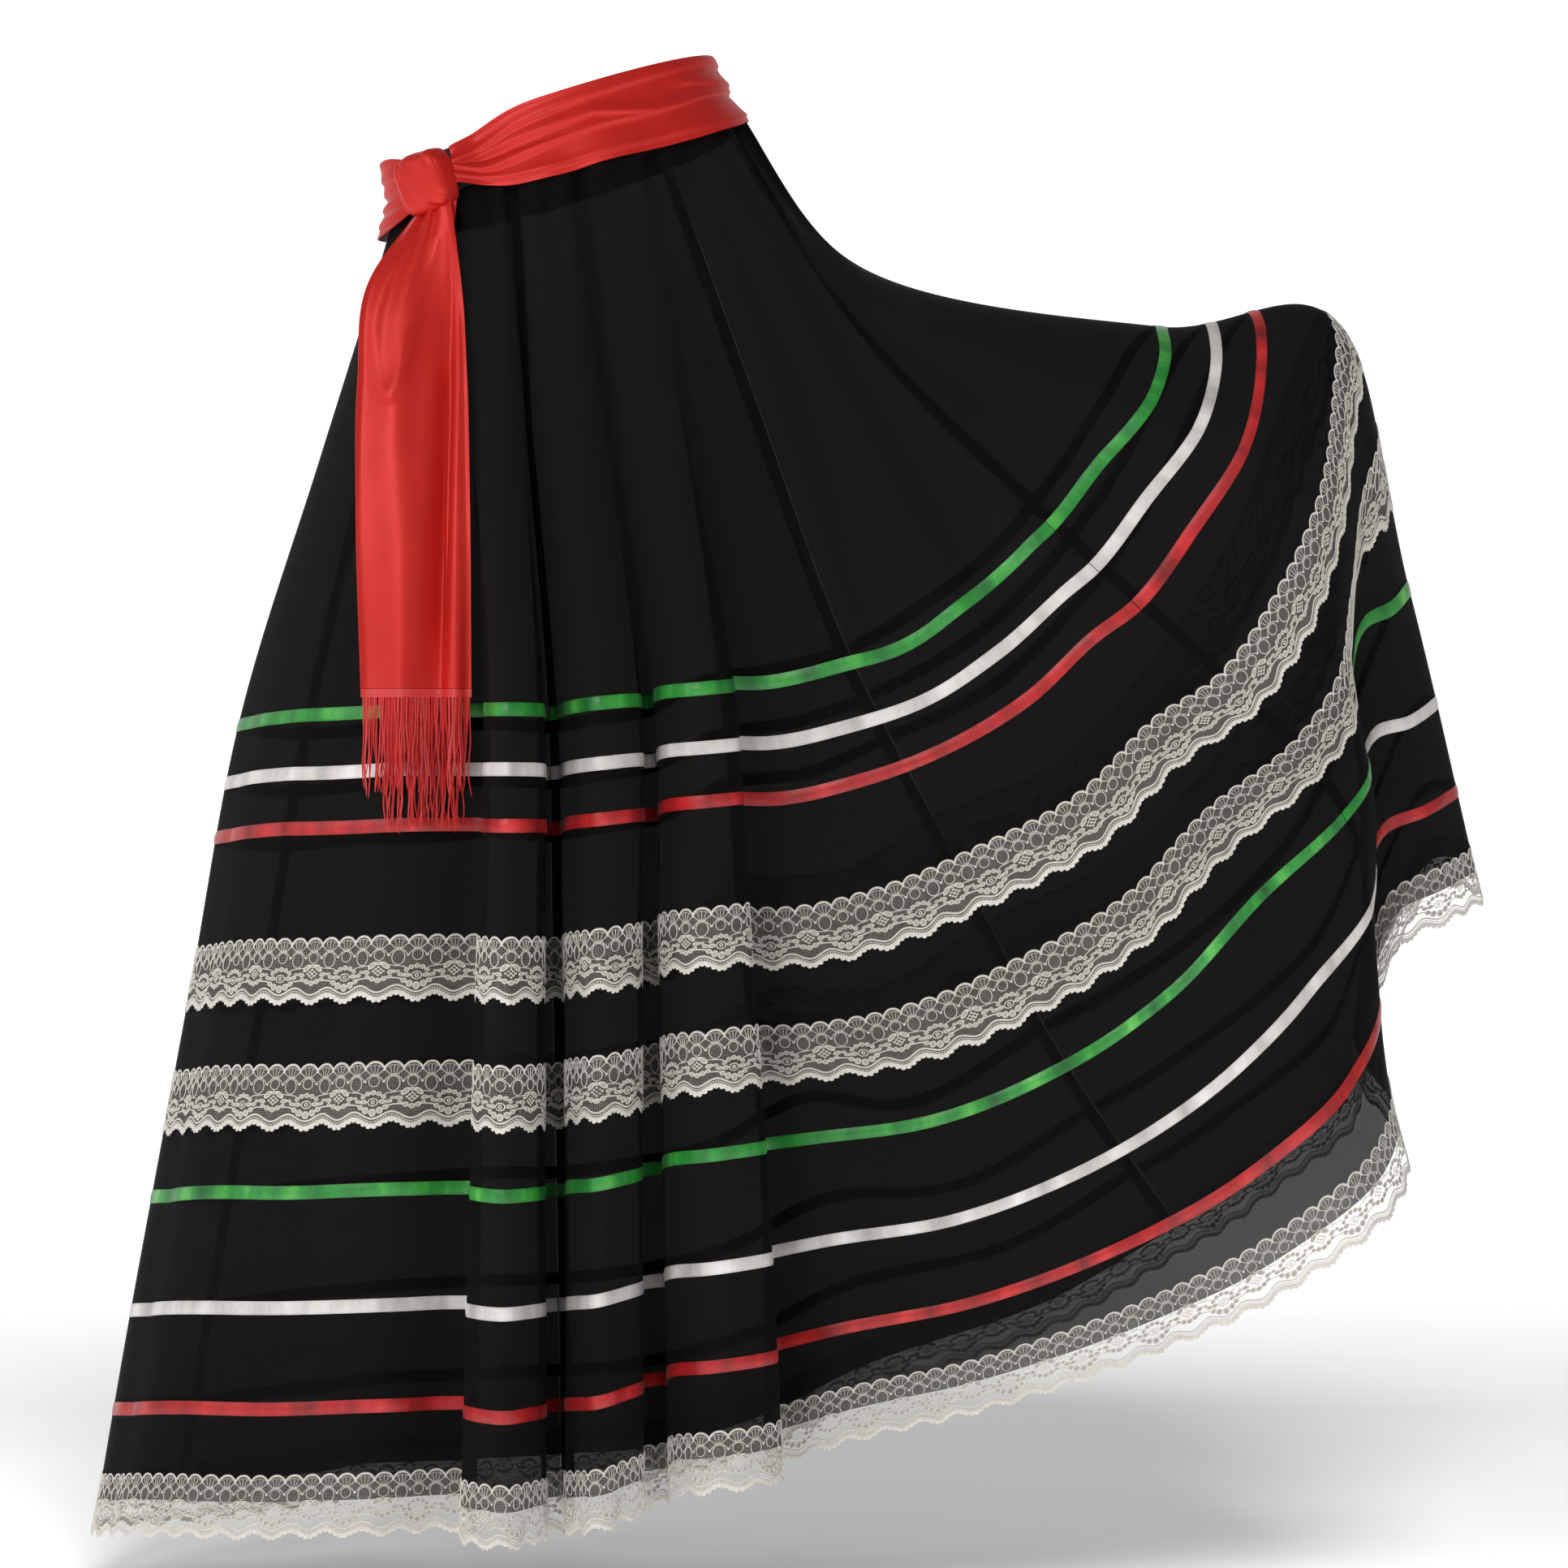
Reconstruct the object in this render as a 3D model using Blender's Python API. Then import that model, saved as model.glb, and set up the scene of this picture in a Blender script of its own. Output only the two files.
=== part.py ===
"""A long gored dance skirt of black voile, trimmed with satin ribbons and lace, with its fringed satin sash.

The skirt is worn, and its left side is held out by hand, so it opens into a wing. Metres, +Z up, the wearer
faces -Y, and the origin is the middle of the waist. The cloth is one surface: u runs round it, counted in
folds, and v runs down it, in metres of cloth from the waist.
"""

import math

import bmesh
import bpy
import numpy as np

MM = 0.001
COLUMNS_A_FOLD = 2
SEAM_GAP = 0.3 * MM
SEAM_INSET = 0.2 * MM
CLOTH = 1.2 * MM
TRIM = 1.0 * MM

# The waist is an ellipse, higher on the held side.
WAIST_HALF_WIDTH = 0.125
WAIST_HALF_DEPTH = 0.090
WAIST_TILT = math.radians(18)

# How far down the cloth each station lies.
HIP_DOWN = 0.200
KNEE_DOWN = 0.415
MID_DOWN = 0.605
CALF_DOWN = 0.768
HEM_DOWN = 1.023
STATIONS = (0.0, HIP_DOWN, KNEE_DOWN, MID_DOWN, CALF_DOWN, HEM_DOWN)
KNEE_SHARE = 0.413
HIP_SHARE = 0.48

# The top edge of the wing sags between the waist and the hand.
SAG_ACROSS = 0.053
SAG_DOWN = 0.042
SAG_SPREAD = 20.0

# One gather takes two folds of the table, and dies out below the waist.
GATHER = 3.5 * MM
GATHER_FADE = 0.13
FOLDS_A_GATHER = 2

# Folds that hang freely: place on the waist in degrees, then seen from above at the first ribbon and at
# the hem, and the height of the hem. Millimetres.
HANGING_FOLDS = (
    # name, waist, knee x, knee y, hem x, hem y, hem z
    ("back_tuck_1", 76, 100, 150, 240, 210, -920),
    ("back_roll_1", 84, 60, 175, 145, 250, -970),
    ("back_tuck_2", 92, 25, 140, 60, 180, -985),
    ("back_roll_2", 100, -15, 180, -15, 260, -1000),
    ("back_tuck_3", 109, -60, 140, -85, 180, -995),
    ("back_roll_3", 120, -105, 165, -160, 240, -1005),
    ("back_tuck_4", 133, -150, 125, -220, 160, -1005),
    ("back_roll_4", 146, -190, 110, -295, 170, -1015),
    ("side_tuck", 163, -225, 70, -340, 100, -1010),
    ("side", 180, -235, 20, -345, 30, -1005),
    ("wide_1", 195, -195, -70, -285, -90, -990),
    ("wide_2", 210, -145, -120, -200, -140, -985),
    ("wide_3", 222, -90, -140, -125, -160, -980),
    ("wide_4", 231, -45, -135, -55, -140, -980),
    ("roll_1_in", 236, -45, -172, -60, -200, -980),
    ("roll_1", 242, -28, -200, -30, -235, -980),
    ("roll_1_out", 248, -10, -185, -8, -205, -980),
    ("valley_1", 253, -5, -108, 3, -118, -985),
    ("roll_2_in", 258, 15, -165, 17, -190, -975),
    ("roll_2", 264, 35, -195, 35, -220, -970),
    ("roll_2_out", 270, 55, -180, 57, -197, -965),
    ("valley_2", 275, 65, -108, 72, -118, -965),
    ("roll_3_in", 280, 80, -165, 90, -178, -950),
    ("roll_3", 287, 105, -185, 115, -205, -945),
    ("roll_3_out", 294, 125, -170, 160, -185, -940),
)

# Folds that fan out to the hand: x, y and z at the first ribbon, the upper lace, the fourth ribbon and
# the hem. Millimetres.
WING_FOLDS = (
    # name, waist, knee, mid, calf, hem
    ("wing_root", 300, (120, -110, -385), (135, -110, -565), (150, -110, -710), (150, -110, -940)),
    ("wing_1", 306, (145, -105, -385), (165, -115, -565), (185, -120, -705), (205, -130, -920)),
    ("wing_2", 313, (195, -110, -375), (235, -120, -550), (275, -135, -690), (300, -150, -895)),
    ("wing_3", 320, (245, -110, -360), (305, -125, -520), (355, -145, -655), (405, -160, -860)),
    ("wing_4", 328, (295, -105, -325), (380, -125, -480), (435, -145, -600), (515, -160, -810)),
    ("wing_5", 335, (330, -100, -295), (435, -120, -425), (495, -140, -535), (595, -140, -745)),
    ("wing_seam", 340, (350, -100, -275), (480, -115, -395), (555, -125, -480), (595, -70, -700)),
    ("wing_edge", 346, (385, -90, -230), (520, -105, -340), (575, -100, -455), (570, -40, -670)),
    ("flap_root", 351, (420, -80, -190), (550, -85, -270), (570, -40, -405), (585, -30, -615)),
    ("flap_1", 355, (435, -50, -150), (565, -50, -185), (580, -35, -340), (605, -30, -575)),
    ("flap_2", 358, (435, -20, -130), (570, -30, -145), (600, -20, -330), (635, -20, -560)),
    ("held", 0, (435, 0, -125), (565, 0, -125), (615, 5, -315), (670, 20, -545)),
    ("behind_1", 6, (420, 50, -135), (560, 30, -135), (610, 60, -325), (645, 90, -535)),
    ("behind_2", 14, (400, 80, -170), (540, 70, -195), (595, 100, -370), (610, 130, -610)),
    ("behind_3", 22, (365, 100, -225), (510, 100, -285), (575, 130, -435), (600, 150, -665)),
    ("behind_4", 31, (315, 120, -285), (455, 130, -375), (530, 150, -515), (590, 170, -720)),
    ("behind_5", 42, (270, 130, -320), (385, 150, -455), (460, 170, -580), (545, 190, -760)),
    ("behind_seam", 54, (210, 140, -355), (285, 165, -500), (360, 185, -640), (475, 210, -810)),
    ("behind_6", 65, (155, 150, -370), (210, 175, -545), (250, 190, -700), (365, 220, -875)),
)

# Each panel runs from one seam's fold to the next, counter-clockwise from above.
PANELS = (
    # node, first fold, last fold
    ("skirt_left", "wing_seam", "behind_seam"),
    ("skirt_back", "behind_seam", "back_roll_4"),
    ("skirt_right", "back_roll_4", "valley_1"),
    ("skirt_front", "valley_1", "wing_seam"),
)

# Rows of the cloth's mesh, each band of trim lying inside one of its strips.
CLOTH_TOP = 0.0125
CLOTH_EDGE = 0.995
ROWS_DOWN = (CLOTH_TOP, 0.08, 0.18, 0.30, 0.395, 0.48, 0.56, 0.65, 0.74, 0.81, 0.89, CLOTH_EDGE)

RIBBON_WIDTH = 0.010
LACE_WIDTH = 0.050
BANDS = (
    # node, middle down the cloth, width, material
    ("ribbon_green_upper", 0.415, RIBBON_WIDTH, "green_satin"),
    ("ribbon_white_upper", 0.459, RIBBON_WIDTH, "white_satin"),
    ("ribbon_red_upper", 0.500, RIBBON_WIDTH, "red_ribbon"),
    ("lace_upper", 0.605, LACE_WIDTH, "lace"),
    ("lace_lower", 0.698, LACE_WIDTH, "lace"),
    ("ribbon_green_lower", 0.768, RIBBON_WIDTH, "green_satin"),
    ("ribbon_white_lower", 0.853, RIBBON_WIDTH, "white_satin"),
    ("ribbon_red_lower", 0.927, RIBBON_WIDTH, "red_ribbon"),
)
HEM_LACE_TOP = 0.977

WAISTBAND_UP = 0.020
WAISTBAND_WALL = 2.0 * MM
WAIST_GAP = 1.2 * MM

# The sash, in the frame of the tilted waist, with the knot on the wearer's right hip.
KNOT_AT = 230.0
KNOT_OUT = 0.024
KNOT_SIZE = (0.046, 0.026, 0.044)
KNOT_RINGS = 8
KNOT_SIDES = 12
KNOT_PINCH = 0.12
KNOT_PINCH_POWER = 6
KNOT_SQUARE = 0.55
SASH_COLUMNS = 48
SASH_ROWS = 7
SASH_STARTS = 10.25
SASH_LIFT = 0.002
SASH_PROFILE = (
    # How far down, and how far out of what is under the sash: it rests on the band, then on the gathers.
    (-0.034, -0.020, 0.0125, 0.030),
    (0.0010, 0.0017, 0.0052, 0.0052),
)
SASH_WALL = 1.6 * MM
SASH_WIDE = 0.060
SASH_NARROW = 0.030
SASH_NARROWS_OVER = 35.0
SASH_CREASES = 3
SASH_CREASE = 0.9 * MM

# The two ends of the sash, which come out from under the knot: how far down, then the left edge, the
# right edge and the depth. Millimetres.
TAIL_TOP = -0.056
TAIL_NECK = 0.038
TAIL_GAP = 0.5 * MM
TAIL_APART = 0.007
KNOT_BOTTOM = 0.886
FRONT_TAIL_LONG = 0.334
BACK_TAIL_LONG = 0.358
TAIL_ROWS = 8
TAIL_COLUMNS = 13
TAIL_FOLD = 0.007
TAIL_FOLD_AT_TOP = 0.15
TAIL_FOLD_GROWS = 1.4
TAIL_ROLLS = (
    # middle across the tail from -1 to 1, half width, share of the fold's depth
    (-0.25, 0.38, 1.0),
    (0.72, 0.16, 0.7),
)
FRONT_TAIL = (
    # share of the way down, left x, right x, y
    (0.12, -128, -66, -104),
    (0.35, -137, -60, -124),
    (0.60, -137, -57, -142),
    (1.00, -132, -55, -160),
)
BACK_TAIL = (
    # share of the way down, left x, right x, y
    (0.12, -120, -74, -97),
    (0.35, -124, -68, -116),
    (0.60, -122, -66, -133),
    (1.00, -117, -62, -151),
)
FRINGE_STRANDS = 40
FRINGE_LONG = 0.068
FRINGE_STRIP = 0.006
FRINGE_THICK = 1.6 * MM
FRINGE_UNEVEN = 0.05
FRINGE_SWAY = 0.004
UNEVEN_STEP = 2.4
SWAY_STEP = 1.7
STRAND_TAPER = 0.6

MATERIALS = {
    # name: red, green and blue as seen on a screen, roughness
    "voile": (26, 22, 21, 0.85),
    "elastic": (22, 20, 20, 0.9),
    "green_satin": (45, 140, 55, 0.35),
    "white_satin": (215, 208, 203, 0.4),
    "red_ribbon": (170, 30, 30, 0.35),
    "lace": (232, 227, 217, 0.8),
    "sash_satin": (196, 42, 36, 0.4),
    "fringe_thread": (170, 30, 30, 0.5),
}


def clear_scene():
    for thing in list(bpy.data.objects):
        bpy.data.objects.remove(thing, do_unlink=True)


def linear(channel):
    share = channel / 255
    return share / 12.92 if share <= 0.04045 else ((share + 0.055) / 1.055) ** 2.4


def material(name):
    """The finish of this name, made once."""
    if name in bpy.data.materials:
        return bpy.data.materials[name]
    red, green, blue, roughness = MATERIALS[name]
    made = bpy.data.materials.new(name)
    made.use_nodes = True
    shader = made.node_tree.nodes["Principled BSDF"]
    shader.inputs["Base Color"].default_value = (linear(red), linear(green), linear(blue), 1)
    shader.inputs["Roughness"].default_value = roughness
    shader.inputs["Metallic"].default_value = 0
    return made


def waist_frame(across, back, up):
    """A point given in the tilted frame of the waist."""
    cosine = math.cos(WAIST_TILT)
    sine = math.sin(WAIST_TILT)
    return np.array([across * cosine - up * sine, back, across * sine + up * cosine])


def waist_point(degrees, out=0.0, up=0.0):
    angle = math.radians(degrees)
    across = (WAIST_HALF_WIDTH + out) * math.cos(angle)
    return waist_frame(across, (WAIST_HALF_DEPTH + out) * math.sin(angle), up)


def fold_stations(waist, knee, mid, calf, hem):
    """One fold's point at each station, with the hip between waist and knee and the wing's sag."""
    top = waist_point(waist)
    off = min(waist, 360 - waist) / SAG_SPREAD
    sag = math.exp(-off * off)
    hip = top + (knee - top) * HIP_SHARE - np.array([SAG_ACROSS, 0, SAG_DOWN]) * sag
    return [top, hip, knee, mid, calf, hem]


def all_folds():
    """The names of the folds in order round the waist, and the array of their points at the stations."""
    rows = []
    for name, waist, knee_x, knee_y, hem_x, hem_y, hem_z in HANGING_FOLDS:
        knee = np.array([knee_x, knee_y, hem_z * KNEE_SHARE]) * MM
        hem = np.array([hem_x, hem_y, hem_z]) * MM
        between = [(down - KNEE_DOWN) / (HEM_DOWN - KNEE_DOWN) for down in (MID_DOWN, CALF_DOWN)]
        mid, calf = (knee + (hem - knee) * share for share in between)
        rows.append((waist, name, fold_stations(waist, knee, mid, calf, hem)))
    for name, waist, *points in WING_FOLDS:
        knee, mid, calf, hem = (np.array(point) * MM for point in points)
        rows.append((waist, name, fold_stations(waist, knee, mid, calf, hem)))
    rows.sort(key=lambda row: row[0])
    return [row[1] for row in rows], np.array([row[2] for row in rows])


FOLD_NAMES, FOLD_POINTS = all_folds()
FOLD_COUNT = len(FOLD_NAMES)


def hermite(start, end, slope_start, slope_end, share):
    square = share * share
    cube = square * share
    return (
        (2 * cube - 3 * square + 1) * start
        + (cube - 2 * square + share) * slope_start
        + (3 * square - 2 * cube) * end
        + (cube - square) * slope_end
    )


def ring(station, u):
    """Points of the closed curve through every fold at one station, at the values of u, counted in folds."""
    points = FOLD_POINTS[:, station]
    steps = np.roll(points, -1, axis=0) - points
    length = np.linalg.norm(steps, axis=1, keepdims=True)
    pace = steps / length
    before = np.roll(length, 1, axis=0)
    slope = (np.roll(pace, 1, axis=0) * length + pace * before) / (length + before)
    index = np.floor(u).astype(int) % FOLD_COUNT
    after = (index + 1) % FOLD_COUNT
    share = (u - np.floor(u))[:, None]
    return hermite(
        points[index],
        points[after],
        slope[index] * length[index],
        slope[after] * length[index],
        share,
    )


def cloth_points(u, down):
    """The grid of points of the cloth, one row for each value of down and one column for each u."""
    rings = np.array([ring(station, u) for station in range(len(STATIONS))])
    steps = np.diff(np.array(STATIONS))
    pace = np.diff(rings, axis=0) / steps[:, None, None]
    slope = np.empty_like(rings)
    slope[0] = pace[0]
    slope[-1] = pace[-1]
    before = steps[:-1, None, None]
    after = steps[1:, None, None]
    slope[1:-1] = (pace[:-1] * after + pace[1:] * before) / (before + after)
    rows = []
    for value in down:
        at = int(np.clip(np.searchsorted(STATIONS, value, side="right") - 1, 0, len(steps) - 1))
        share = (value - STATIONS[at]) / steps[at]
        rows.append(
            hermite(rings[at], rings[at + 1], slope[at] * steps[at], slope[at + 1] * steps[at], share)
        )
    return np.array(rows)


def outward(grid, closed):
    """The unit normal at each point of a grid, pointing out of the garment."""
    if closed:
        along = np.roll(grid, -1, axis=1) - np.roll(grid, 1, axis=1)
    else:
        along = np.gradient(grid, axis=1)
    below = np.gradient(grid, axis=0)
    normal = np.cross(below, along)
    return normal / np.linalg.norm(normal, axis=2, keepdims=True)


def gathered(grid, normal, u, down):
    """The grid with the waist's gathers raised in it, level with the waist."""
    upright = waist_frame(0, 0, 1)
    level = normal - upright * (normal @ upright)[:, :, None]
    wave = np.sin(2 * math.pi * u / FOLDS_A_GATHER + math.pi / 4)
    fade = np.exp(-((np.array(down) / GATHER_FADE) ** 2))
    return grid + level * (GATHER * fade[:, None] * wave[None, :])[:, :, None]


def ring_columns():
    return np.arange(FOLD_COUNT * COLUMNS_A_FOLD) / COLUMNS_A_FOLD


def skirt_grid():
    """The middle of the cloth and its outward normals, at the mesh's rows and columns."""
    u = ring_columns()
    down = ROWS_DOWN + (HEM_DOWN,)
    smooth = cloth_points(u, down)
    grid = gathered(smooth, outward(smooth, closed=True), u, down)
    return grid, outward(grid, closed=True)


def between(grid, first, last, inset):
    """Columns first to last of a closed grid, both end columns moved in by inset metres."""
    count = grid.shape[1]
    picked = grid[:, [column % count for column in range(first, last + 1)]].copy()
    for end, inner in ((0, 1), (-1, -2)):
        step = picked[:, inner] - picked[:, end]
        picked[:, end] += step * (inset / np.linalg.norm(step, axis=1, keepdims=True))
    return picked


def add_patch(mesh, rows, outwards, raised):
    """Triangles over a grid of vertices. A quad that isn't flat is cut along its outer diagonal where it
    is raised, and else along its inner one, so that a band clears the cloth under it."""
    for row in range(len(rows) - 1):
        for column in range(len(rows[0]) - 1):
            a = rows[row][column]
            b = rows[row][column + 1]
            c = rows[row + 1][column + 1]
            d = rows[row + 1][column]
            facing = (c.co - a.co).cross(b.co - d.co)
            falling_is_outer = (a.co + c.co - b.co - d.co).dot(facing) > 0
            if falling_is_outer == raised:
                faces = ((a, d, c), (a, c, b))
            else:
                faces = ((a, d, b), (b, d, c))
            for face in faces:
                mesh.faces.new(face if outwards else face[::-1])


def wall_object(name, outer, inner, finish, closed=False, raised=False):
    """A wall between two grids of points of the same size, each one row by row from the top."""
    mesh = bmesh.new()
    sides = []
    for grid in (outer, inner):
        rows = [[mesh.verts.new(point) for point in row] for row in grid]
        if closed:
            rows = [row + [row[0]] for row in rows]
        sides.append(rows)
    out, inside = sides
    add_patch(mesh, out, True, raised)
    add_patch(mesh, inside, False, raised)
    add_rim(mesh, out[0], inside[0], True)
    add_rim(mesh, out[-1], inside[-1], False)
    if not closed:
        for column, first in ((0, False), (-1, True)):
            add_rim(mesh, [row[column] for row in out], [row[column] for row in inside], first)
    return finished(name, mesh, finish)


def add_rim(mesh, out, inside, forwards):
    """Triangles across the wall's thickness, cut the same way on both sides of a seam."""
    for at in range(len(out) - 1):
        for face in ((out[at], out[at + 1], inside[at]), (out[at + 1], inside[at + 1], inside[at])):
            mesh.faces.new(face if forwards else face[::-1])


def finished(name, mesh, finish):
    data = bpy.data.meshes.new(name)
    mesh.to_mesh(data)
    mesh.free()
    data.materials.append(material(finish))
    made = bpy.data.objects.new(name, data)
    bpy.context.scene.collection.objects.link(made)
    return made


def make_panels(grid, normal):
    """The four panels, whose seams lie on the folds that the table names."""
    cloth = grid[: len(ROWS_DOWN)]
    outer = cloth + normal[: len(ROWS_DOWN)] * CLOTH / 2
    inner = cloth - normal[: len(ROWS_DOWN)] * CLOTH / 2
    for name, first_fold, last_fold in PANELS:
        first = FOLD_NAMES.index(first_fold) * COLUMNS_A_FOLD
        last = FOLD_NAMES.index(last_fold) * COLUMNS_A_FOLD
        if last < first:
            last += FOLD_COUNT * COLUMNS_A_FOLD
        wall_object(
            name,
            between(outer, first, last, SEAM_INSET),
            between(inner, first, last, SEAM_INSET),
            "voile",
        )


def on_cloth(grid, normal, down, out):
    """A row of points on the cloth's own facets, moved out from its outer face."""
    at = min(int(np.searchsorted(ROWS_DOWN, down, side="right")) - 1, len(ROWS_DOWN) - 2)
    share = (down - ROWS_DOWN[at]) / (ROWS_DOWN[at + 1] - ROWS_DOWN[at])
    lift = CLOTH / 2 + out
    upper = grid[at] + normal[at] * lift
    lower = grid[at + 1] + normal[at + 1] * lift
    return upper * (1 - share) + lower * share


def make_band(name, grid, normal, edges, finish):
    """A ring of trim that lies on the cloth, with a row of points at each depth in edges."""
    inner = []
    outer = []
    for down in edges:
        if down > CLOTH_EDGE:
            lift = CLOTH / 2 + SEAM_GAP
            inner.append(grid[-1] + normal[-1] * lift)
            outer.append(grid[-1] + normal[-1] * (lift + TRIM))
        else:
            inner.append(on_cloth(grid, normal, down, SEAM_GAP))
            outer.append(on_cloth(grid, normal, down, SEAM_GAP + TRIM))
    wall_object(name, np.array(outer), np.array(inner), finish, closed=True, raised=True)


def make_bands(grid, normal):
    for name, middle, width, finish in BANDS:
        make_band(name, grid, normal, (middle - width / 2, middle + width / 2), finish)
    make_band("lace_hem", grid, normal, (HEM_LACE_TOP, CLOTH_EDGE, HEM_DOWN), "lace")


def make_waistband():
    """The elastic band, whose lower edge follows the top edge of the cloth."""
    waist, bottom = cloth_points(ring_columns(), (0.0, CLOTH_TOP - WAIST_GAP))
    rows = np.array([waist + waist_frame(0, 0, WAISTBAND_UP), waist, bottom])
    out = outward(rows, closed=True) * WAISTBAND_WALL / 2
    wall_object("waistband", rows + out, rows - out, "elastic", closed=True)


def sash_width(turn):
    """The height of the sash, turn degrees from the knot."""
    share = min(min(turn, 360 - turn) / SASH_NARROWS_OVER, 1)
    return SASH_NARROW + (SASH_WIDE - SASH_NARROW) * share * share * (3 - 2 * share)


def fold_at(degrees):
    """The value of u at a place on the waist."""
    places = sorted(row[1] for row in HANGING_FOLDS + WING_FOLDS)
    turns, place = divmod(degrees, 360)
    return turns * FOLD_COUNT + np.interp(place, places + [360], range(FOLD_COUNT + 1))


def under_sash(u, down):
    """Points under the sash: on the cloth, or above its top edge in line with the waistband."""
    grid = cloth_points(u, (0.0, max(down, 0.0)))
    return grid[1] + waist_frame(0, 0, 1) * max(-down, 0.0)


def make_sash_wrap():
    """The sash round the waist, from one side of the knot to the other, creased along its length."""
    turns = SASH_STARTS + (360 - 2 * SASH_STARTS) * np.arange(SASH_COLUMNS + 1) / SASH_COLUMNS
    base = []
    lift = []
    for share in np.arange(SASH_ROWS) / (SASH_ROWS - 1):
        row = []
        for turn in turns:
            down = sash_width(turn) * (share - 0.5) - SASH_LIFT
            row.append(under_sash(np.array([fold_at(KNOT_AT + turn)]), down)[0])
        base.append(row)
        lift.append([np.interp(sash_width(turn) * (share - 0.5) - SASH_LIFT, *SASH_PROFILE) for turn in turns])
    base = np.array(base)
    normal = outward(base, closed=False)
    inner = base + normal * np.array(lift)[:, :, None]
    crease = 1 + np.cos(2 * math.pi * SASH_CREASES * np.arange(SASH_ROWS) / (SASH_ROWS - 1))
    outer = inner + normal * (SASH_WALL + SASH_CREASE * crease)[:, None, None]
    wall_object("sash_wrap", outer, inner, "sash_satin")


def knot_frame():
    """The knot's middle, and its directions along the sash, out of the waist and up."""
    out = waist_point(KNOT_AT, 1) - waist_point(KNOT_AT)
    up = waist_frame(0, 0, 1)
    along = np.cross(up, out / np.linalg.norm(out))
    return waist_point(KNOT_AT, KNOT_OUT), along / np.linalg.norm(along), out / np.linalg.norm(out), up


def squared(value, power):
    return math.copysign(abs(value) ** power, value)


def make_knot():
    """The knot: a flattened, rounded lump, pulled in round its middle where the sash's end crosses it."""
    middle, along, out, up = knot_frame()
    mesh = bmesh.new()
    half = [size / 2 for size in KNOT_SIZE]
    rings = []
    for row in range(1, KNOT_RINGS):
        angle = math.pi * row / KNOT_RINGS - math.pi / 2
        waist = 1 - KNOT_PINCH * math.cos(angle) ** KNOT_PINCH_POWER
        points = []
        for column in range(KNOT_SIDES):
            turn = 2 * math.pi * column / KNOT_SIDES
            reach = squared(math.cos(angle), KNOT_SQUARE)
            across = half[0] * squared(math.sin(angle), KNOT_SQUARE)
            away = half[1] * reach * squared(math.cos(turn), KNOT_SQUARE) * waist
            high = half[2] * reach * squared(math.sin(turn), KNOT_SQUARE) * waist
            points.append(mesh.verts.new(middle + along * across + out * away + up * high))
        rings.append(points)
    ends = [mesh.verts.new(middle + along * side * half[0]) for side in (-1, 1)]
    for first, second in zip(rings, rings[1:]):
        for column in range(KNOT_SIDES):
            after = (column + 1) % KNOT_SIDES
            mesh.faces.new((first[column], first[after], second[after], second[column]))
    for column in range(KNOT_SIDES):
        after = (column + 1) % KNOT_SIDES
        mesh.faces.new((ends[0], rings[0][after], rings[0][column]))
        mesh.faces.new((ends[1], rings[-1][column], rings[-1][after]))
    bmesh.ops.triangulate(mesh, faces=mesh.faces[:])
    bmesh.ops.recalc_face_normals(mesh, faces=mesh.faces[:])
    finished("sash_knot", mesh, "sash_satin")


def tail_edges(tail, drop, out):
    """The stations of a tail, from the underside of the knot down, each with its left and right ends."""
    middle, along, outwards, up = knot_frame()
    top = middle + outwards * out - up * (KNOT_SIZE[2] / 2 * KNOT_BOTTOM + TAIL_GAP)
    stations = [(0.0, top - along * TAIL_NECK / 2, top + along * TAIL_NECK / 2)]
    for share, left, right, depth in tail:
        height = (TAIL_TOP - drop * share) / MM
        stations.append((share, *(np.array([x, depth, height]) * MM for x in (left, right))))
    return stations


def tail_point(stations, share, side):
    """A point of a tail's middle, share of the way down it and side of the way across, from -1 to 1."""
    shares = [station[0] for station in stations]
    ends = np.array([[station[1], station[2]] for station in stations])
    left, right = (
        np.array([np.interp(share, shares, ends[:, end, axis]) for axis in range(3)]) for end in (0, 1)
    )
    grown = min(TAIL_FOLD_AT_TOP + TAIL_FOLD_GROWS * share, 1)
    fold = TAIL_FOLD * share_of_fold(side) * math.sin(math.pi / 2 * grown)
    return (left + right) / 2 + (right - left) * side / 2 - np.array([0, fold, 0])


def share_of_fold(side):
    """The section of a tail: a broad roll left of the middle and a sharper one near the right edge."""
    return sum(depth * math.exp(-(((side - middle) / half) ** 2)) for middle, half, depth in TAIL_ROLLS)


def make_tail(name, tail, drop, out):
    stations = tail_edges(tail, drop, out)
    rows = []
    for row in range(TAIL_ROWS + 1):
        share = row / TAIL_ROWS
        rows.append([tail_point(stations, share, side) for side in np.linspace(-1, 1, TAIL_COLUMNS)])
    grid = np.array(rows)
    out = outward(grid, closed=False) * SASH_WALL / 2
    wall_object(name, grid + out, grid - out, "sash_satin")
    return grid


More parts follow.
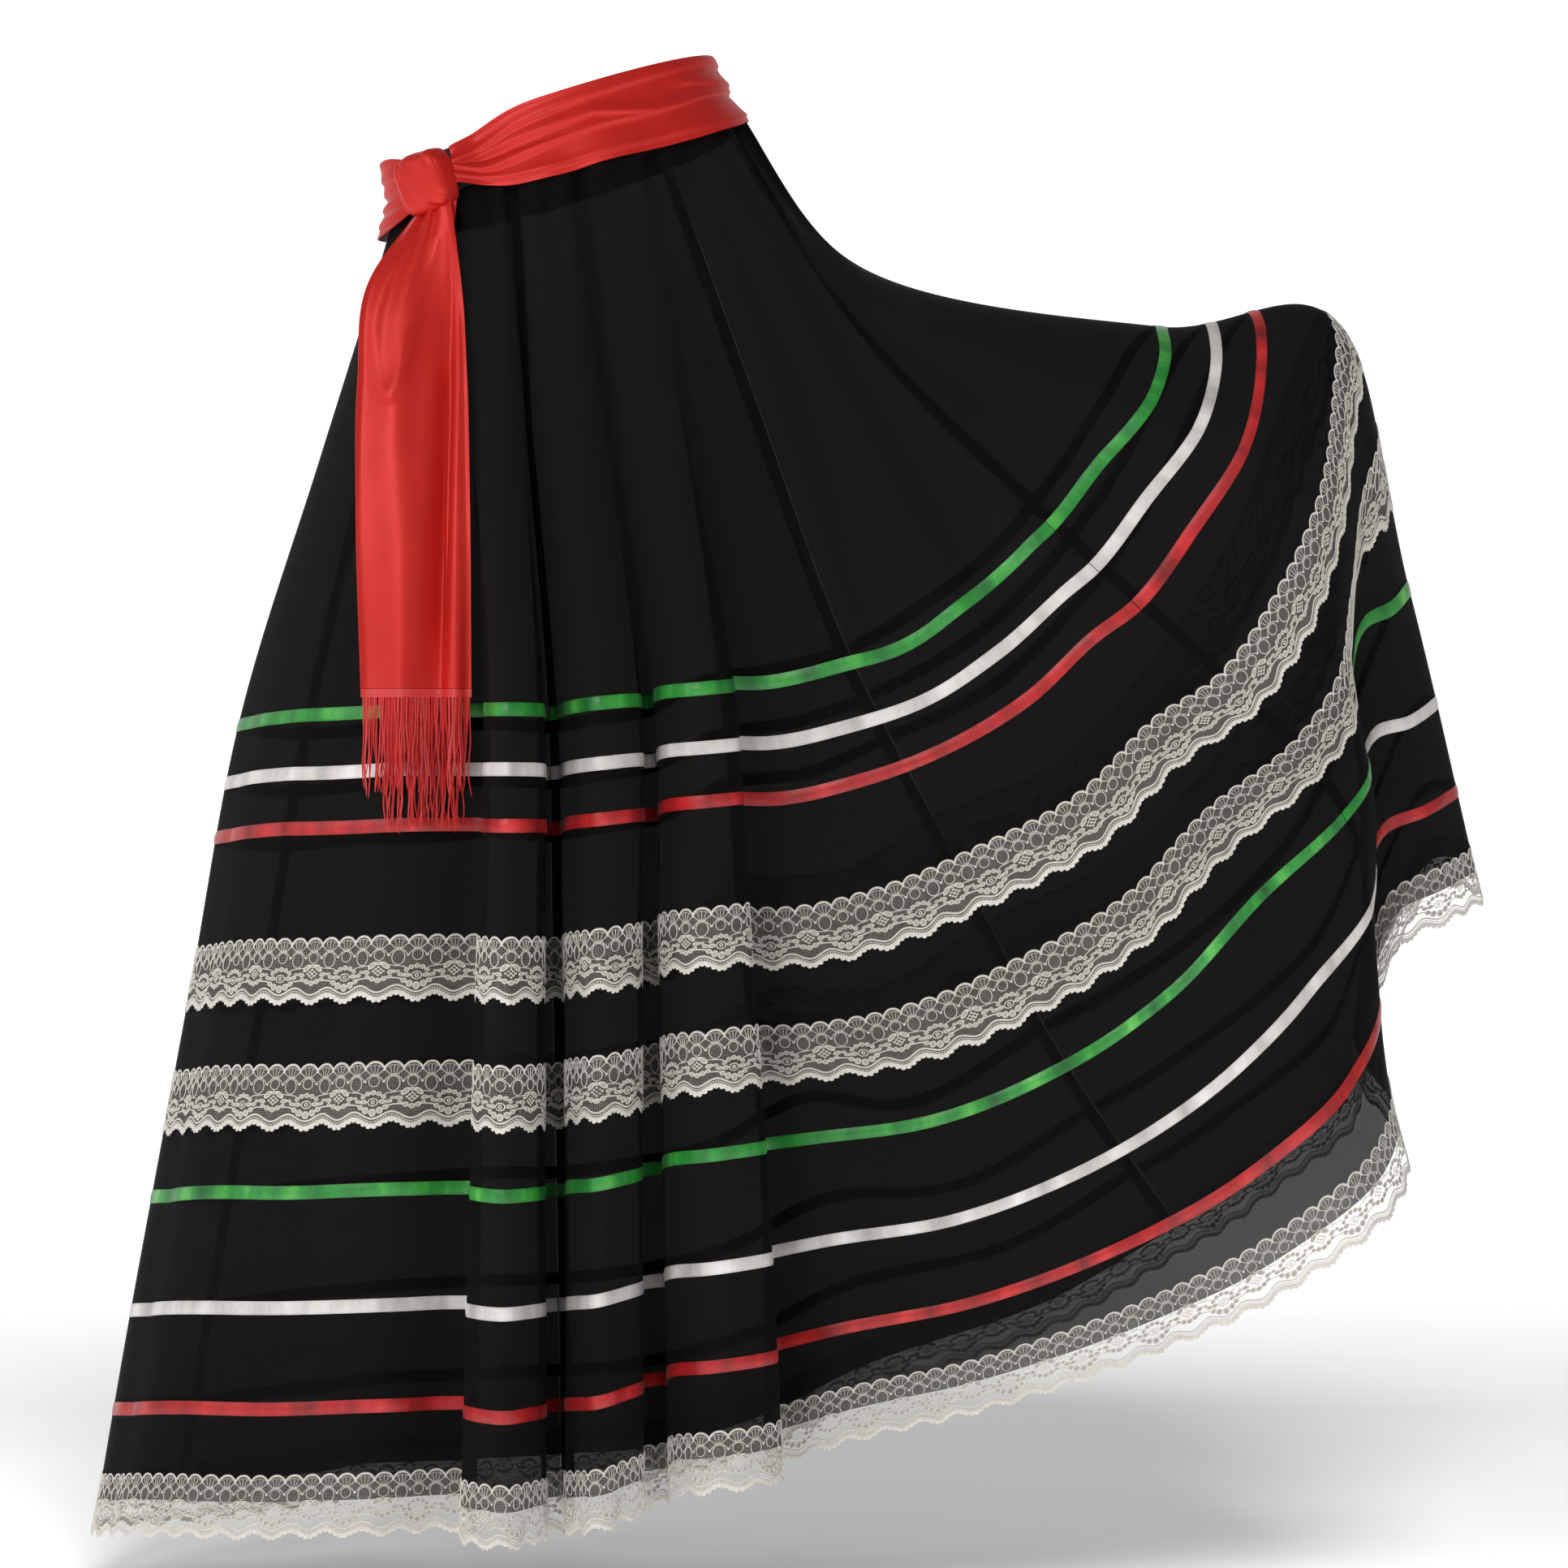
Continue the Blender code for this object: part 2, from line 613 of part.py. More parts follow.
def make_fringe(name, tail_grid, strands, length, seed):
    """A fringe: a strip under the tail's lower edge, with strands that hang from every other cell of it."""
    bottom = tail_grid[-1]
    spread = np.linspace(0, len(bottom) - 1, 2 * strands)
    places = np.array([np.interp(spread, np.arange(len(bottom)), bottom[:, axis]) for axis in range(3)]).T
    rise = np.array([0, 0, 1])
    thick = np.array([0, FRINGE_THICK / 2, 0])
    top = places - rise * SEAM_GAP
    low = top - rise * FRINGE_STRIP
    mesh = bmesh.new()
    front_top, front_low = ([mesh.verts.new(p - thick) for p in row] for row in (top, low))
    back_top, back_low = ([mesh.verts.new(p + thick) for p in row] for row in (top, low))
    last = len(places) - 1
    for at in range(last):
        mesh.faces.new((front_low[at], front_low[at + 1], front_top[at + 1], front_top[at]))
        mesh.faces.new((back_low[at + 1], back_low[at], back_top[at], back_top[at + 1]))
        mesh.faces.new((front_top[at], front_top[at + 1], back_top[at + 1], back_top[at]))
        corners = (front_low[at + 1], front_low[at], back_low[at], back_low[at + 1])
        if at % 2:
            mesh.faces.new(corners)
            continue
        drop = length * (1 + FRINGE_UNEVEN * math.sin(seed + at * UNEVEN_STEP))
        sway = FRINGE_SWAY * math.sin(seed * 2 + at * SWAY_STEP)
        tip = np.array([sway, -abs(sway) / 2, -drop])
        middle = sum((np.array(corner.co) for corner in corners), np.zeros(3)) / 4
        tips = [
            mesh.verts.new(np.array(corner.co) * STRAND_TAPER + middle * (1 - STRAND_TAPER) + tip)
            for corner in corners
        ]
        for side in range(4):
            after = (side + 1) % 4
            mesh.faces.new((corners[side], corners[after], tips[after], tips[side]))
        mesh.faces.new(tips)
    mesh.faces.new((front_top[0], back_top[0], back_low[0], front_low[0]))
    mesh.faces.new((front_low[last], back_low[last], back_top[last], front_top[last]))
    bmesh.ops.triangulate(mesh, faces=mesh.faces[:])
    bmesh.ops.recalc_face_normals(mesh, faces=mesh.faces[:])
    finished(name, mesh, "fringe_thread")


def make_sash():
    make_sash_wrap()
    make_knot()
    front = make_tail("sash_tail_front", FRONT_TAIL, FRONT_TAIL_LONG, TAIL_APART / 2)
    back = make_tail("sash_tail_back", BACK_TAIL, BACK_TAIL_LONG, -TAIL_APART / 2)
    make_fringe("fringe_front", front, FRINGE_STRANDS, FRINGE_LONG, 1)
    make_fringe("fringe_back", back, FRINGE_STRANDS, FRINGE_LONG, 4)


def main():
    clear_scene()
    grid, normal = skirt_grid()
    make_panels(grid, normal)
    make_bands(grid, normal)
    make_waistband()
    make_sash()


main()
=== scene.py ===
"""The looks of a long black dance skirt with ribbons, lace and a fringed satin sash, worn and held out.

Metres, +Z up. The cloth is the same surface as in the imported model: u runs round it, counted in folds,
and v runs down it, in metres of cloth from the waist. Everything else lies on that surface.
"""

import math

import bpy
import numpy as np
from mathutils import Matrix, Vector

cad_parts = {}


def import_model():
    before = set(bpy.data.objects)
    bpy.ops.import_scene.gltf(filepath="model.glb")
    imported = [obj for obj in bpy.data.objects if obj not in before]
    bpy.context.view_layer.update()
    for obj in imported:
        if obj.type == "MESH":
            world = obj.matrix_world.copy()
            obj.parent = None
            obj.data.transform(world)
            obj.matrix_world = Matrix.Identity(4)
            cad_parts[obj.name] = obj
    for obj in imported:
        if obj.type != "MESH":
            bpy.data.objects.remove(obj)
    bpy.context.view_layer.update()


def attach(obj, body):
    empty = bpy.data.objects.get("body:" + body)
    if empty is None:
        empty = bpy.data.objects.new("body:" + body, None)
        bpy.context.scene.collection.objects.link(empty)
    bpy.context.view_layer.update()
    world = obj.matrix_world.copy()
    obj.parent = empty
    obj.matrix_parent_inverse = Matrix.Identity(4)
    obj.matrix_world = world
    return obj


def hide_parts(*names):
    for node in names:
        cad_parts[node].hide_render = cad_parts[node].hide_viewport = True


MM = 0.001

# The camera stands level with the knees, four metres in front of the skirt.
CAMERA_PLACE = (0.1623, -4.0, -0.4563)
FRAME_WIDTH = 1.136
SENSOR_MM = 36.0
FLOOR_Z = -1.045

# The floor near the skirt glows less than the backdrop, so that the skirt throws a shadow on it.
FLOOR_GLOW = 0.20
BACKDROP_GLOW = 0.65
GLOW_STARTS = 1.2
GLOW_FULL = 3.0
GLOW_AHEAD = 4.5
WORLD_LIGHT = 0.22
WORLD_SEEN = 0.92
LAMP_TARGET = (0.1, 0.0, -0.5)
LAMPS = (
    # name, x, y, z, width, height, watts
    ("key", -1.75, -4.4, 1.9, 1.5, 1.5, 90),
    ("side", -3.4, -1.6, 0.9, 1.4, 2.2, 26),
    ("fill", 3.2, -3.2, 0.6, 1.6, 2.4, 10),
)
FLOOR_LAMP = (0.5, -4.6, 2.3, 1.6, 1.6, 450)

# The waist is an ellipse, higher on the held side.
WAIST_HALF_WIDTH = 0.125
WAIST_HALF_DEPTH = 0.090
WAIST_TILT = math.radians(18)

# How far down the cloth each station lies.
KNEE_DOWN = 0.415
MID_DOWN = 0.605
CALF_DOWN = 0.768
HEM_DOWN = 1.023
STATIONS = (0.0, 0.200, KNEE_DOWN, MID_DOWN, CALF_DOWN, HEM_DOWN)
KNEE_SHARE = 0.413
HIP_SHARE = 0.48
SAG_ACROSS = 0.053
SAG_DOWN = 0.042
SAG_SPREAD = 20.0
GATHER = 3.5 * MM
GATHER_FADE = 0.13
FOLDS_A_GATHER = 2

# Folds that hang freely: place on the waist in degrees, then seen from above at the first ribbon and at
# the hem, and the height of the hem. Millimetres.
HANGING_FOLDS = (
    # name, waist, knee x, knee y, hem x, hem y, hem z
    ("back_tuck_1", 76, 100, 150, 240, 210, -920),
    ("back_roll_1", 84, 60, 175, 145, 250, -970),
    ("back_tuck_2", 92, 25, 140, 60, 180, -985),
    ("back_roll_2", 100, -15, 180, -15, 260, -1000),
    ("back_tuck_3", 109, -60, 140, -85, 180, -995),
    ("back_roll_3", 120, -105, 165, -160, 240, -1005),
    ("back_tuck_4", 133, -150, 125, -220, 160, -1005),
    ("back_roll_4", 146, -190, 110, -295, 170, -1015),
    ("side_tuck", 163, -225, 70, -340, 100, -1010),
    ("side", 180, -235, 20, -345, 30, -1005),
    ("wide_1", 195, -195, -70, -285, -90, -990),
    ("wide_2", 210, -145, -120, -200, -140, -985),
    ("wide_3", 222, -90, -140, -125, -160, -980),
    ("wide_4", 231, -45, -135, -55, -140, -980),
    ("roll_1_in", 236, -45, -172, -60, -200, -980),
    ("roll_1", 242, -28, -200, -30, -235, -980),
    ("roll_1_out", 248, -10, -185, -8, -205, -980),
    ("valley_1", 253, -5, -108, 3, -118, -985),
    ("roll_2_in", 258, 15, -165, 17, -190, -975),
    ("roll_2", 264, 35, -195, 35, -220, -970),
    ("roll_2_out", 270, 55, -180, 57, -197, -965),
    ("valley_2", 275, 65, -108, 72, -118, -965),
    ("roll_3_in", 280, 80, -165, 90, -178, -950),
    ("roll_3", 287, 105, -185, 115, -205, -945),
    ("roll_3_out", 294, 125, -170, 160, -185, -940),
)

# Folds that fan out to the hand: x, y and z at the first ribbon, the upper lace, the fourth ribbon and
# the hem. Millimetres.
WING_FOLDS = (
    # name, waist, knee, mid, calf, hem
    ("wing_root", 300, (120, -110, -385), (135, -110, -565), (150, -110, -710), (150, -110, -940)),
    ("wing_1", 306, (145, -105, -385), (165, -115, -565), (185, -120, -705), (205, -130, -920)),
    ("wing_2", 313, (195, -110, -375), (235, -120, -550), (275, -135, -690), (300, -150, -895)),
    ("wing_3", 320, (245, -110, -360), (305, -125, -520), (355, -145, -655), (405, -160, -860)),
    ("wing_4", 328, (295, -105, -325), (380, -125, -480), (435, -145, -600), (515, -160, -810)),
    ("wing_5", 335, (330, -100, -295), (435, -120, -425), (495, -140, -535), (595, -140, -745)),
    ("wing_seam", 340, (350, -100, -275), (480, -115, -395), (555, -125, -480), (595, -70, -700)),
    ("wing_edge", 346, (385, -90, -230), (520, -105, -340), (575, -100, -455), (570, -40, -670)),
    ("flap_root", 351, (420, -80, -190), (550, -85, -270), (570, -40, -405), (585, -30, -615)),
    ("flap_1", 355, (435, -50, -150), (565, -50, -185), (580, -35, -340), (605, -30, -575)),
    ("flap_2", 358, (435, -20, -130), (570, -30, -145), (600, -20, -330), (635, -20, -560)),
    ("held", 0, (435, 0, -125), (565, 0, -125), (615, 5, -315), (670, 20, -545)),
    ("behind_1", 6, (420, 50, -135), (560, 30, -135), (610, 60, -325), (645, 90, -535)),
    ("behind_2", 14, (400, 80, -170), (540, 70, -195), (595, 100, -370), (610, 130, -610)),
    ("behind_3", 22, (365, 100, -225), (510, 100, -285), (575, 130, -435), (600, 150, -665)),
    ("behind_4", 31, (315, 120, -285), (455, 130, -375), (530, 150, -515), (590, 170, -720)),
    ("behind_5", 42, (270, 130, -320), (385, 150, -455), (460, 170, -580), (545, 190, -760)),
    ("behind_seam", 54, (210, 140, -355), (285, 165, -500), (360, 185, -640), (475, 210, -810)),
    ("behind_6", 65, (155, 150, -370), (210, 175, -545), (250, 190, -700), (365, 220, -875)),
)

# Each panel runs from one seam's fold to the next. The flat sizes are those of the gore as it was cut.
PANELS = (
    # node, first fold, last fold, flat width, flat length, flat area
    ("skirt_left", "wing_seam", "behind_seam", 0.70, 1.00, 0.45),
    ("skirt_back", "behind_seam", "back_roll_4", 0.95, 1.00, 0.53),
    ("skirt_right", "back_roll_4", "valley_1", 0.80, 1.00, 0.50),
    ("skirt_front", "valley_1", "wing_seam", 1.00, 1.00, 0.55),
)

# Soft creases in the cloth: the fold that they follow, how far beside it in folds, where they start and
# end down the cloth, their half width and how far they stand out. Metres.
CREASES = (
    # fold, beside, from, to, half width, out
    ("wing_root", 0.6, 0.06, 0.42, 0.012, 0.0075),
    ("wing_1", 0.5, 0.05, 0.36, 0.011, -0.0075),
    ("wing_2", 0.3, 0.05, 0.46, 0.015, 0.0105),
    ("wing_3", 0.1, 0.04, 0.33, 0.011, -0.009),
    ("wing_3", 0.7, 0.06, 0.50, 0.016, 0.009),
    ("wing_4", 0.5, 0.08, 0.40, 0.013, -0.0075),
    ("wing_5", 0.4, 0.07, 0.52, 0.016, 0.009),
    ("wing_edge", 0.2, 0.10, 0.34, 0.012, -0.006),
    ("wing_edge", 0.8, 0.16, 0.47, 0.013, 0.006),
    ("wing_2", 0.0, 0.55, 0.99, 0.026, 0.0105),
    ("wing_3", 0.4, 0.60, 0.99, 0.03, -0.012),
    ("wing_4", 0.6, 0.55, 0.99, 0.034, 0.012),
    ("behind_5", 0.3, 0.06, 0.44, 0.014, 0.009),
    ("behind_4", 0.5, 0.06, 0.38, 0.012, -0.0075),
    ("behind_3", 0.4, 0.08, 0.50, 0.015, 0.009),
    ("behind_2", 0.2, 0.10, 0.36, 0.012, -0.006),
    ("behind_4", 0.2, 0.58, 0.99, 0.03, 0.012),
    ("behind_5", 0.7, 0.60, 0.99, 0.03, -0.0105),
    ("wide_1", 0.4, 0.30, 0.99, 0.016, 0.004),
    ("wide_2", 0.1, 0.62, 0.95, 0.01, -0.004),
    ("wide_2", 0.7, 0.35, 0.90, 0.014, 0.004),
    ("wide_3", 0.5, 0.45, 0.99, 0.012, -0.003),
    ("side", 0.5, 0.30, 0.99, 0.014, -0.004),
    ("back_roll_2", 0.5, 0.35, 0.99, 0.012, 0.004),
    ("back_roll_3", 0.4, 0.30, 0.99, 0.012, -0.004),
    ("valley_1", 0.0, 0.20, 0.99, 0.036, -0.011),
    ("valley_2", 0.0, 0.20, 0.99, 0.030, -0.009),
)
FINE_GATHER = 1.2 * MM
FINE_GATHER_FADE = 0.05
HEM_WAVE = 1.6 * MM

CLOTH_TOP = 0.0125
CLOTH_EDGE = 0.995
CLOTH_THICK = 0.4 * MM
COLUMNS_A_FOLD = 8
PANEL_ROWS = 140
SEAM_HALF_GAP = 0.15 * MM
SEAM_ALLOWANCE = 0.009
RIBBON_WIDTH = 0.010
LACE_WIDTH = 0.050
RIBBONS = (
    # node, middle down the cloth, material
    ("ribbon_green_upper", 0.415, "green_satin"),
    ("ribbon_white_upper", 0.459, "white_satin"),
    ("ribbon_red_upper", 0.500, "red_ribbon"),
    ("ribbon_green_lower", 0.768, "green_satin"),
    ("ribbon_white_lower", 0.853, "white_satin"),
    ("ribbon_red_lower", 0.927, "red_ribbon"),
)
LACES = (
    # node, top down the cloth, width
    ("lace_upper", 0.580, LACE_WIDTH),
    ("lace_lower", 0.673, LACE_WIDTH),
    ("lace_hem", 0.975, 0.048),
)

# The sash, in the frame of the tilted waist, with the knot on the wearer's right hip.
WAISTBAND_UP = 0.020
KNOT_AT = 230.0
KNOT_OUT = 0.024
KNOT_SIZE = (0.046, 0.026, 0.044)
KNOT_SQUARE = 0.55
SASH_STARTS = 7.5
SASH_RISE = 0.013
SASH_RISES_OVER = 5.0
SASH_LIFT = 0.002
SASH_PROFILE = (
    (-0.034, -0.020, 0.0125, 0.030),
    (0.0010, 0.0017, 0.0052, 0.0052),
)
SASH_WALL = 0.9 * MM
SASH_WIDE = 0.060
SASH_NARROW = 0.030
SASH_NARROWS_OVER = 35.0
TAIL_TOP = -0.056
TAIL_NECK = 0.038
TAIL_GAP = 0.5 * MM
TAIL_APART = 0.007
KNOT_BOTTOM = 0.886
FRONT_TAIL_LONG = 0.334
BACK_TAIL_LONG = 0.358
TAIL_FOLD = 0.007
TAIL_FOLD_AT_TOP = 0.15
TAIL_FOLD_GROWS = 1.4
TAIL_ROLLS = (
    # middle across the tail from -1 to 1, half width, share of the fold's depth
    (-0.25, 0.38, 1.0),
    (0.72, 0.16, 0.7),
)
FRONT_TAIL = (
    # share of the way down, left x, right x, y
    (0.12, -128, -66, -104),
    (0.35, -137, -60, -124),
    (0.60, -137, -57, -142),
    (1.00, -132, -55, -160),
)
BACK_TAIL = (
    # share of the way down, left x, right x, y
    (0.12, -120, -74, -97),
    (0.35, -124, -68, -116),
    (0.60, -122, -66, -133),
    (1.00, -117, -62, -151),
)
FRINGE_LONG = 0.068
FRINGE_STRIP = 0.006


def linear(channel):
    share = channel / 255
    return share / 12.92 if share <= 0.04045 else ((share + 0.055) / 1.055) ** 2.4


def colour(red, green, blue):
    """A colour given as it shows on a screen, for a shader's socket."""
    return (linear(red), linear(green), linear(blue), 1.0)


# The surface of the cloth


def waist_frame(across, back, up):
    """A point given in the tilted frame of the waist."""
    cosine = math.cos(WAIST_TILT)
    sine = math.sin(WAIST_TILT)
    return np.array([across * cosine - up * sine, back, across * sine + up * cosine])


def waist_point(degrees, out=0.0, up=0.0):
    angle = math.radians(degrees)
    across = (WAIST_HALF_WIDTH + out) * math.cos(angle)
    return waist_frame(across, (WAIST_HALF_DEPTH + out) * math.sin(angle), up)


def fold_stations(waist, knee, mid, calf, hem):
    """One fold's point at each station, with the hip between waist and knee and the wing's sag."""
    top = waist_point(waist)
    off = min(waist, 360 - waist) / SAG_SPREAD
    sag = math.exp(-off * off)
    hip = top + (knee - top) * HIP_SHARE - np.array([SAG_ACROSS, 0, SAG_DOWN]) * sag
    return [top, hip, knee, mid, calf, hem]


def all_folds():
    """The names of the folds in order round the waist, and the array of their points at the stations."""
    rows = []
    for name, waist, knee_x, knee_y, hem_x, hem_y, hem_z in HANGING_FOLDS:
        knee = np.array([knee_x, knee_y, hem_z * KNEE_SHARE]) * MM
        hem = np.array([hem_x, hem_y, hem_z]) * MM
        between = [(down - KNEE_DOWN) / (HEM_DOWN - KNEE_DOWN) for down in (MID_DOWN, CALF_DOWN)]
        mid, calf = (knee + (hem - knee) * share for share in between)
        rows.append((waist, name, fold_stations(waist, knee, mid, calf, hem)))
    for name, waist, *points in WING_FOLDS:
        knee, mid, calf, hem = (np.array(point) * MM for point in points)
        rows.append((waist, name, fold_stations(waist, knee, mid, calf, hem)))
    rows.sort(key=lambda row: row[0])
    return [row[1] for row in rows], np.array([row[2] for row in rows])


FOLD_NAMES, FOLD_POINTS = all_folds()
FOLD_COUNT = len(FOLD_NAMES)
COLUMN_COUNT = FOLD_COUNT * COLUMNS_A_FOLD


def hermite(start, end, slope_start, slope_end, share):
    square = share * share
    cube = square * share
    return (
        (2 * cube - 3 * square + 1) * start
        + (cube - 2 * square + share) * slope_start
        + (3 * square - 2 * cube) * end
        + (cube - square) * slope_end
    )


def ring(station, u):
    """Points of the closed curve through every fold at one station, at the values of u, counted in folds."""
    points = FOLD_POINTS[:, station]
    steps = np.roll(points, -1, axis=0) - points
    length = np.linalg.norm(steps, axis=1, keepdims=True)
    pace = steps / length
    before = np.roll(length, 1, axis=0)
    slope = (np.roll(pace, 1, axis=0) * length + pace * before) / (length + before)
    index = np.floor(u).astype(int) % FOLD_COUNT
    after = (index + 1) % FOLD_COUNT
    share = (u - np.floor(u))[:, None]
    return hermite(
        points[index],
        points[after],
        slope[index] * length[index],
        slope[after] * length[index],
        share,
    )


def cloth_points(u, down):
    """The grid of points of the cloth, one row for each value of down and one column for each u."""
    rings = np.array([ring(station, u) for station in range(len(STATIONS))])
    steps = np.diff(np.array(STATIONS))
    pace = np.diff(rings, axis=0) / steps[:, None, None]
    slope = np.empty_like(rings)
    slope[0] = pace[0]
    slope[-1] = pace[-1]
    before = steps[:-1, None, None]
    after = steps[1:, None, None]
    slope[1:-1] = (pace[:-1] * after + pace[1:] * before) / (before + after)
    rows = []
    for value in down:
        at = int(np.clip(np.searchsorted(STATIONS, value, side="right") - 1, 0, len(steps) - 1))
        share = (value - STATIONS[at]) / steps[at]
        rows.append(
            hermite(rings[at], rings[at + 1], slope[at] * steps[at], slope[at + 1] * steps[at], share)
        )
    return np.array(rows)


def outward(grid, closed):
    """The unit normal at each point of a grid, pointing out of the garment."""
    if closed:
        along = np.roll(grid, -1, axis=1) - np.roll(grid, 1, axis=1)
    else:
        along = np.gradient(grid, axis=1)
    below = np.gradient(grid, axis=0)
    normal = np.cross(below, along)
    return normal / np.linalg.norm(normal, axis=2, keepdims=True)


def ring_length(row):
    """How far round a closed row of points each point lies, and the whole way round."""
    steps = np.linalg.norm(np.roll(row, -1, axis=0) - row, axis=1)
    return np.concatenate([[0.0], np.cumsum(steps)])


def round_distance(u, middle):
    """How far u lies from middle, counted in folds, the shorter way round."""
    return (u - middle + FOLD_COUNT / 2) % FOLD_COUNT - FOLD_COUNT / 2


def creased(grid, normal, u, down):
    """How far each point of the cloth stands out in the gathers, the placed creases and the hem's wave."""
    down = np.array(down)
    out = GATHER * np.exp(-((down / GATHER_FADE) ** 2))[:, None] * np.sin(
        2 * math.pi * u / FOLDS_A_GATHER + math.pi / 4
    )
    fine = FINE_GATHER * np.exp(-((down / FINE_GATHER_FADE) ** 2))
    out += fine[:, None] * np.sin(2 * math.pi * u * 1.5 + 2 * np.sin(2 * math.pi * u * 5 / FOLD_COUNT))
    lengths = np.array([ring_length(row)[-1] for row in grid])
    for fold, beside, start, end, half_width, depth in CREASES:
        middle = FOLD_NAMES.index(fold) + beside
        spacing = np.linalg.norm(
            grid[:, int(middle + 1) % FOLD_COUNT * COLUMNS_A_FOLD] - grid[:, int(middle) * COLUMNS_A_FOLD],
            axis=1,
        )
        across = round_distance(u, middle)[None, :] * spacing[:, None]
        share = np.clip((down - start) / (end - start), 0, 1)
        rise = np.sin(math.pi * np.minimum(share, 0.999)) ** 0.7
        if end > CLOTH_EDGE - 0.01:
            rise = np.sin(math.pi / 2 * share) ** 0.8
        out += depth * rise[:, None] * np.exp(-((across / half_width) ** 2))
    hem_share = np.clip((down - 0.80) / 0.22, 0, 1) ** 2
    turns = 2 * math.pi * u / FOLD_COUNT
    wave = np.sin(turns * 31 + 1.3 * np.sin(turns * 7)) + 0.6 * np.sin(turns * 53 + 2)
    out += HEM_WAVE * hem_share[:, None] * wave
    return out


class Cloth:
    """The skirt's surface on a fine grid, and points on or off it."""

    def __init__(self):
        self.u = np.arange(COLUMN_COUNT) / COLUMNS_A_FOLD
        panel = np.linspace(CLOTH_TOP, CLOTH_EDGE, PANEL_ROWS)
        self.down = np.concatenate([[0.0, CLOTH_TOP / 2], panel, np.linspace(CLOTH_EDGE, HEM_DOWN + 0.002, 6)[1:]])
        smooth = cloth_points(self.u, self.down)
        flat_normal = outward(smooth, closed=True)
        upright = waist_frame(0, 0, 1)
        level = flat_normal - upright * (flat_normal @ upright)[:, :, None]
        near_waist = np.exp(-((self.down / 0.15) ** 2))[:, None, None]
        direction = level * near_waist + flat_normal * (1 - near_waist)
        self.grid = smooth + direction * creased(smooth, flat_normal, self.u, self.down)[:, :, None]
        self.normal = outward(self.grid, closed=True)

    def at(self, u, down, out=0.0):
        """Points on the grid's own facets at pairs of u and down, moved out by out."""
        place = (np.asarray(u) % FOLD_COUNT) * COLUMNS_A_FOLD
        column = np.floor(place).astype(int) % COLUMN_COUNT
        after = (column + 1) % COLUMN_COUNT
        across = (place - np.floor(place))[..., None]
        row = np.clip(np.searchsorted(self.down, down, side="right") - 1, 0, len(self.down) - 2)
        share = ((down - self.down[row]) / (self.down[row + 1] - self.down[row]))[..., None]
        lifted = np.asarray(out)[..., None]

        def corner(which_row, which_column):
            return self.grid[which_row, which_column] + self.normal[which_row, which_column] * lifted

        upper = corner(row, column) * (1 - across) + corner(row, after) * across
        lower = corner(row + 1, column) * (1 - across) + corner(row + 1, after) * across
        return upper * (1 - share) + lower * share

    def way_round(self, down):
        """Two matching lists: metres round the cloth at this depth, and u there."""
        row = self.at(self.u, np.full(COLUMN_COUNT, down))
        return ring_length(row), np.arange(COLUMN_COUNT + 1) / COLUMNS_A_FOLD


# Meshes


def make_object(name, points, faces, finishes, uv=None, smooth=True, finish_of_face=None):
    """An object from arrays of points and faces, with its materials and, per point, its UV in metres."""
    data = bpy.data.meshes.new(name)
    data.from_pydata([tuple(point) for point in points], [], faces)
    for finish in finishes:
        data.materials.append(finish)
    if finish_of_face is not None:
        data.polygons.foreach_set("material_index", finish_of_face)
    if uv is not None:
        layer = data.uv_layers.new(name="UVMap")
        corners = np.zeros(len(data.loops), int)
        data.loops.foreach_get("vertex_index", corners)
        layer.data.foreach_set("uv", np.asarray(uv)[corners].ravel())
    data.update()
    if smooth:
        data.shade_smooth()
        data.set_sharp_from_angle(angle=math.radians(60))
    made = bpy.data.objects.new(name, data)
    bpy.context.scene.collection.objects.link(made)
    return made


def grid_faces(rows, columns, closed, start=0, flip=False):
    """Quads over a grid of points, counted from start, row by row."""
    row, column = np.meshgrid(np.arange(rows - 1), np.arange(columns if closed else columns - 1), indexing="ij")
    after = (column + 1) % columns
    corners = [row * columns + column, (row + 1) * columns + column, (row + 1) * columns + after, row * columns + after]
    if flip:
        corners = corners[::-1]
    return (np.stack(corners, axis=-1).reshape(-1, 4) + start).tolist()


def wall_parts(outer, inner, closed):
    """The points and faces of a thin closed wall between two grids of the same size."""
    rows, columns = outer.shape[:2]
    count = rows * columns
    faces = grid_faces(rows, columns, closed) + grid_faces(rows, columns, closed, count, flip=True)
    top = list(range(columns))
    bottom = list(range((rows - 1) * columns, rows * columns))
    left = [row * columns for row in range(rows)]
    right = [row * columns + columns - 1 for row in range(rows)]
    if closed:
        top.append(top[0])
        bottom.append(bottom[0])
    rims = [(top, True), (bottom, False)]
    if not closed:
        rims += [(left, False), (right, True)]
    for line, forwards in rims:
        for first, second in zip(line, line[1:]):
            face = (first, second, second + count, first + count)
            faces.append(face if forwards else face[::-1])
    points = np.concatenate([outer.reshape(-1, 3), inner.reshape(-1, 3)])
    return points, faces


def wall_object(name, outer, inner, finish, uv=None, closed=False):
    points, faces = wall_parts(outer, inner, closed)
    both = None if uv is None else np.concatenate([uv.reshape(-1, 2), uv.reshape(-1, 2)])
    return make_object(name, points, faces, [finish], both)


def joined_parts(parts):
    """Several (points, faces, uv) as one."""
    points = []
    faces = []
    uvs = []
    start = 0
    for part_points, part_faces, part_uv in parts:
        points.append(part_points)
        faces += [tuple(corner + start for corner in face) for face in part_faces]
        uvs.append(part_uv)
        start += len(part_points)
    return np.concatenate(points), faces, np.concatenate(uvs)


def set_down(piece, nodes):
    """The piece moves with the skirt and stands for the nodes, which it hides."""
    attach(piece, "root")
    if nodes:
        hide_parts(*nodes)
    return piece


# Materials


